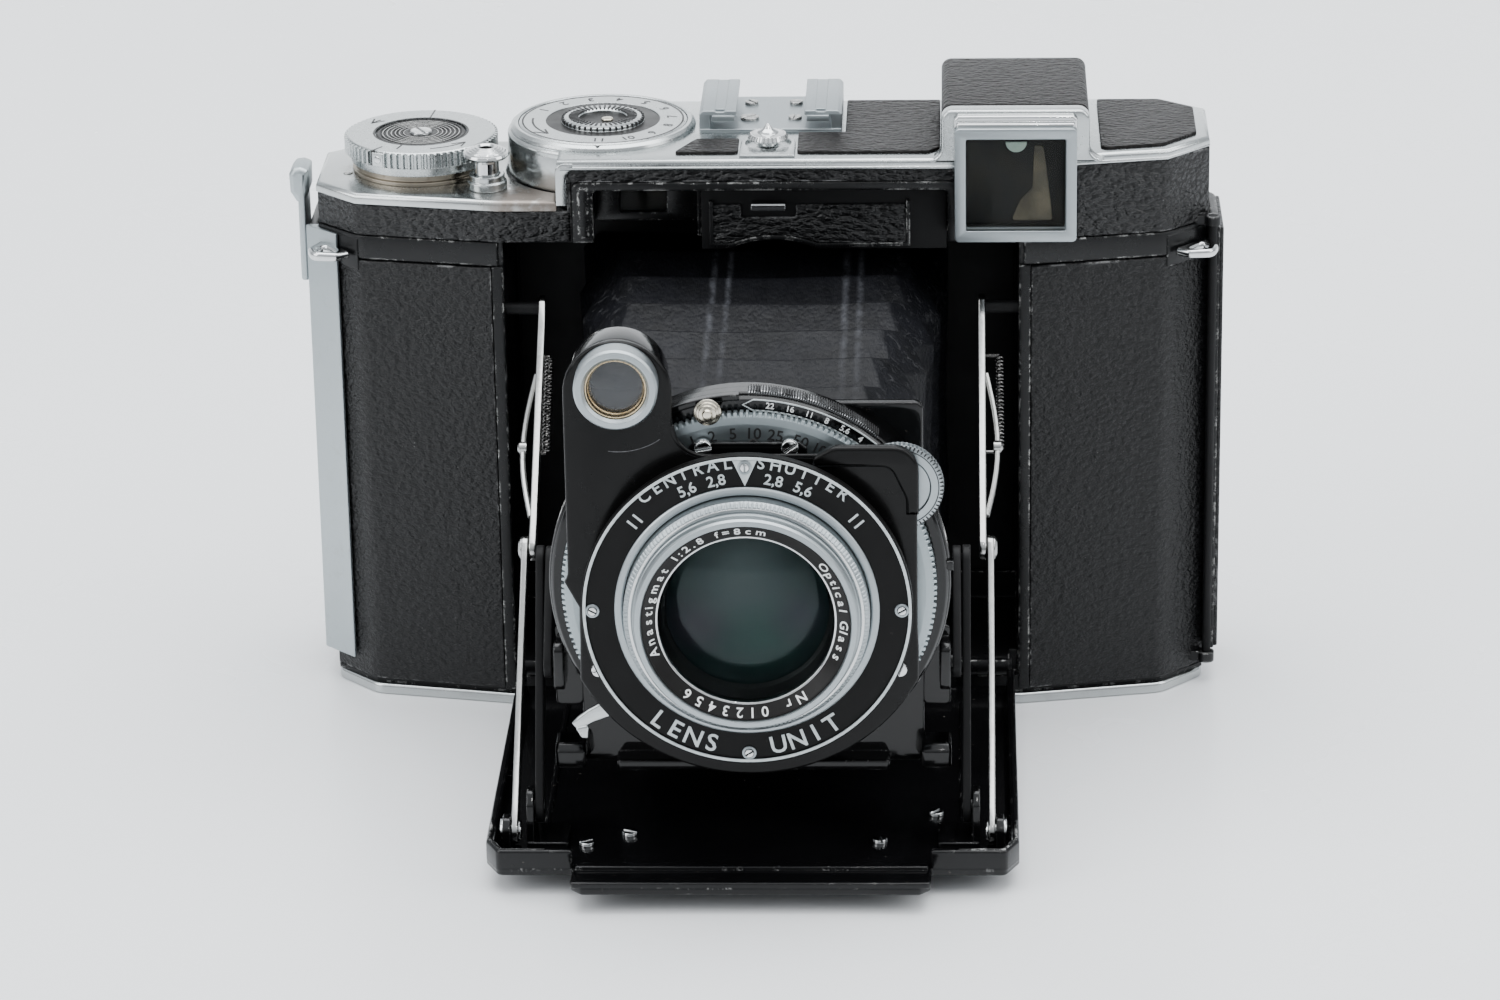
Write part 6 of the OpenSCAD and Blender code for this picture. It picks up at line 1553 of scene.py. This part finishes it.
# ---------------------------------------------------------------- stage
def stage():
    me = bpy.data.meshes.new("floor")
    V, F = [], []
    prof = [(-4.0, 0.0)] + [(1.6, 0.0)]
    for i in range(1, 13):
        a = PI / 2 * i / 12
        prof.append((1.6 + 1.6 * math.sin(a), 1.6 * (1 - math.cos(a))))
    prof.append((3.2, 5.0))
    for x in (-5.0, 5.0):
        for y, z in prof:
            V.append((x, y, z - 0.00005))
    n = len(prof)
    for i in range(n - 1):
        F.append((i, n + i, n + i + 1, i + 1))
    me.from_pydata(V, [], F)
    me.polygons.foreach_set("use_smooth", [True] * len(F))
    ob = bpy.data.objects.new("floor", me)
    COL.objects.link(ob)
    k = Mat("floor_card")
    n1, n2 = k.noise(3.0, 4, 0.55), k.noise(14, 4, 0.6)
    c_ = k.mix(k.ramp(n1, 0.3, 0.7), (0.77, 0.785, 0.80), (0.82, 0.83, 0.84))
    sp = k.math("MULTIPLY", k.ramp(k.noise(380, 2), 0.76, 0.80), 0.25)
    c_ = k.mix(sp, c_, (0.55, 0.53, 0.50))
    k.set(Base_Color=c_, Roughness=k.ramp(n2, 0.3, 0.7, 0.20, 0.30), Specular_IOR_Level=0.32, Normal=k.bump(k.noise(60, 3), 0.02, 0.0006))
    me.materials.append(k.m)
    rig.stage(ob)

    world = bpy.data.worlds.new("studio")
    bpy.context.scene.world = world
    world.use_nodes = True
    nt = world.node_tree
    bg = nt.nodes["Background"]
    tc = nt.nodes.new("ShaderNodeTexCoord")
    sep = nt.nodes.new("ShaderNodeSeparateXYZ")
    nt.links.new(tc.outputs["Generated"], sep.inputs[0])
    mr = nt.nodes.new("ShaderNodeMapRange")
    nt.links.new(sep.outputs[2], mr.inputs[0])
    mr.inputs[1].default_value = -0.05
    mr.inputs[2].default_value = 0.9
    mr.inputs[3].default_value = 0.22
    mr.inputs[4].default_value = 1.75
    bg.inputs[0].default_value = (0.92, 0.96, 1.0, 1)
    nt.links.new(mr.outputs[0], bg.inputs[1])

    def area_light(name, loc, target, size, power, col=(1, 1, 1)):
        li = bpy.data.lights.new(name, "AREA")
        li.shape = "RECTANGLE"
        li.size, li.size_y = size
        li.energy = power
        li.color = col
        o_ = bpy.data.objects.new(name, li)
        COL.objects.link(o_)
        o_.location = loc
        o_.rotation_mode = "QUATERNION"
        o_.rotation_quaternion = (Vector(target) - Vector(loc)).to_track_quat("-Z", "Y")
        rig.stage(o_)
    area_light("top_box", (0.05, 0.15, 1.25), (0, -0.02, 0.04), (1.5, 1.1), 27.0, (0.97, 0.985, 1.0))
    area_light("left_box", (-1.15, -0.65, 0.75), (0, 0, 0.05), (0.8, 1.0), 11.0, (0.98, 0.99, 1.0))
    area_light("right_box", (1.2, -0.35, 0.8), (0, 0, 0.05), (0.7, 0.9), 8.0, (0.98, 0.99, 1.0))
    area_light("back_wash", (0.0, 1.5, 1.2), (0.0, 2.6, 0.8), (2.2, 0.8), 60.0)
    area_light("lamp", (0.16, -0.75, 1.15), (0, -0.05, 0.05), (0.05, 0.05), 0.9, (1.0, 0.99, 0.97))

    yaw, pitch, roll = 0.041, 0.3679, -0.0169
    fwd = Vector((-math.sin(yaw) * math.cos(pitch), math.cos(yaw) * math.cos(pitch), -math.sin(pitch)))
    right_ = Vector((math.cos(yaw), math.sin(yaw), 0))
    up = right_.cross(fwd)
    r = right_ * math.cos(roll) + up * math.sin(roll)
    u = -right_ * math.sin(roll) + up * math.cos(roll)
    cam = bpy.data.cameras.new("camera")
    cam.sensor_width = 36.0
    cam.lens = 5307.7 * 36.0 / 1500.0
    cam.clip_start, cam.clip_end = 0.02, 30
    co = bpy.data.objects.new("camera", cam)
    COL.objects.link(co)
    co.matrix_world = Matrix(((r.x, u.x, -fwd.x, 0.0292824), (r.y, u.y, -fwd.y, -0.767607), (r.z, u.z, -fwd.z, 0.3303506), (0, 0, 0, 1)))
    bpy.context.scene.camera = co


stage()
lo_, hi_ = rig.bounds()
with open("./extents.json", "w") as f_:
    json.dump({"cad_lo": list(CAD_LO), "cad_hi": list(CAD_HI), "visual_lo": list(lo_), "visual_hi": list(hi_)}, f_, indent=1)
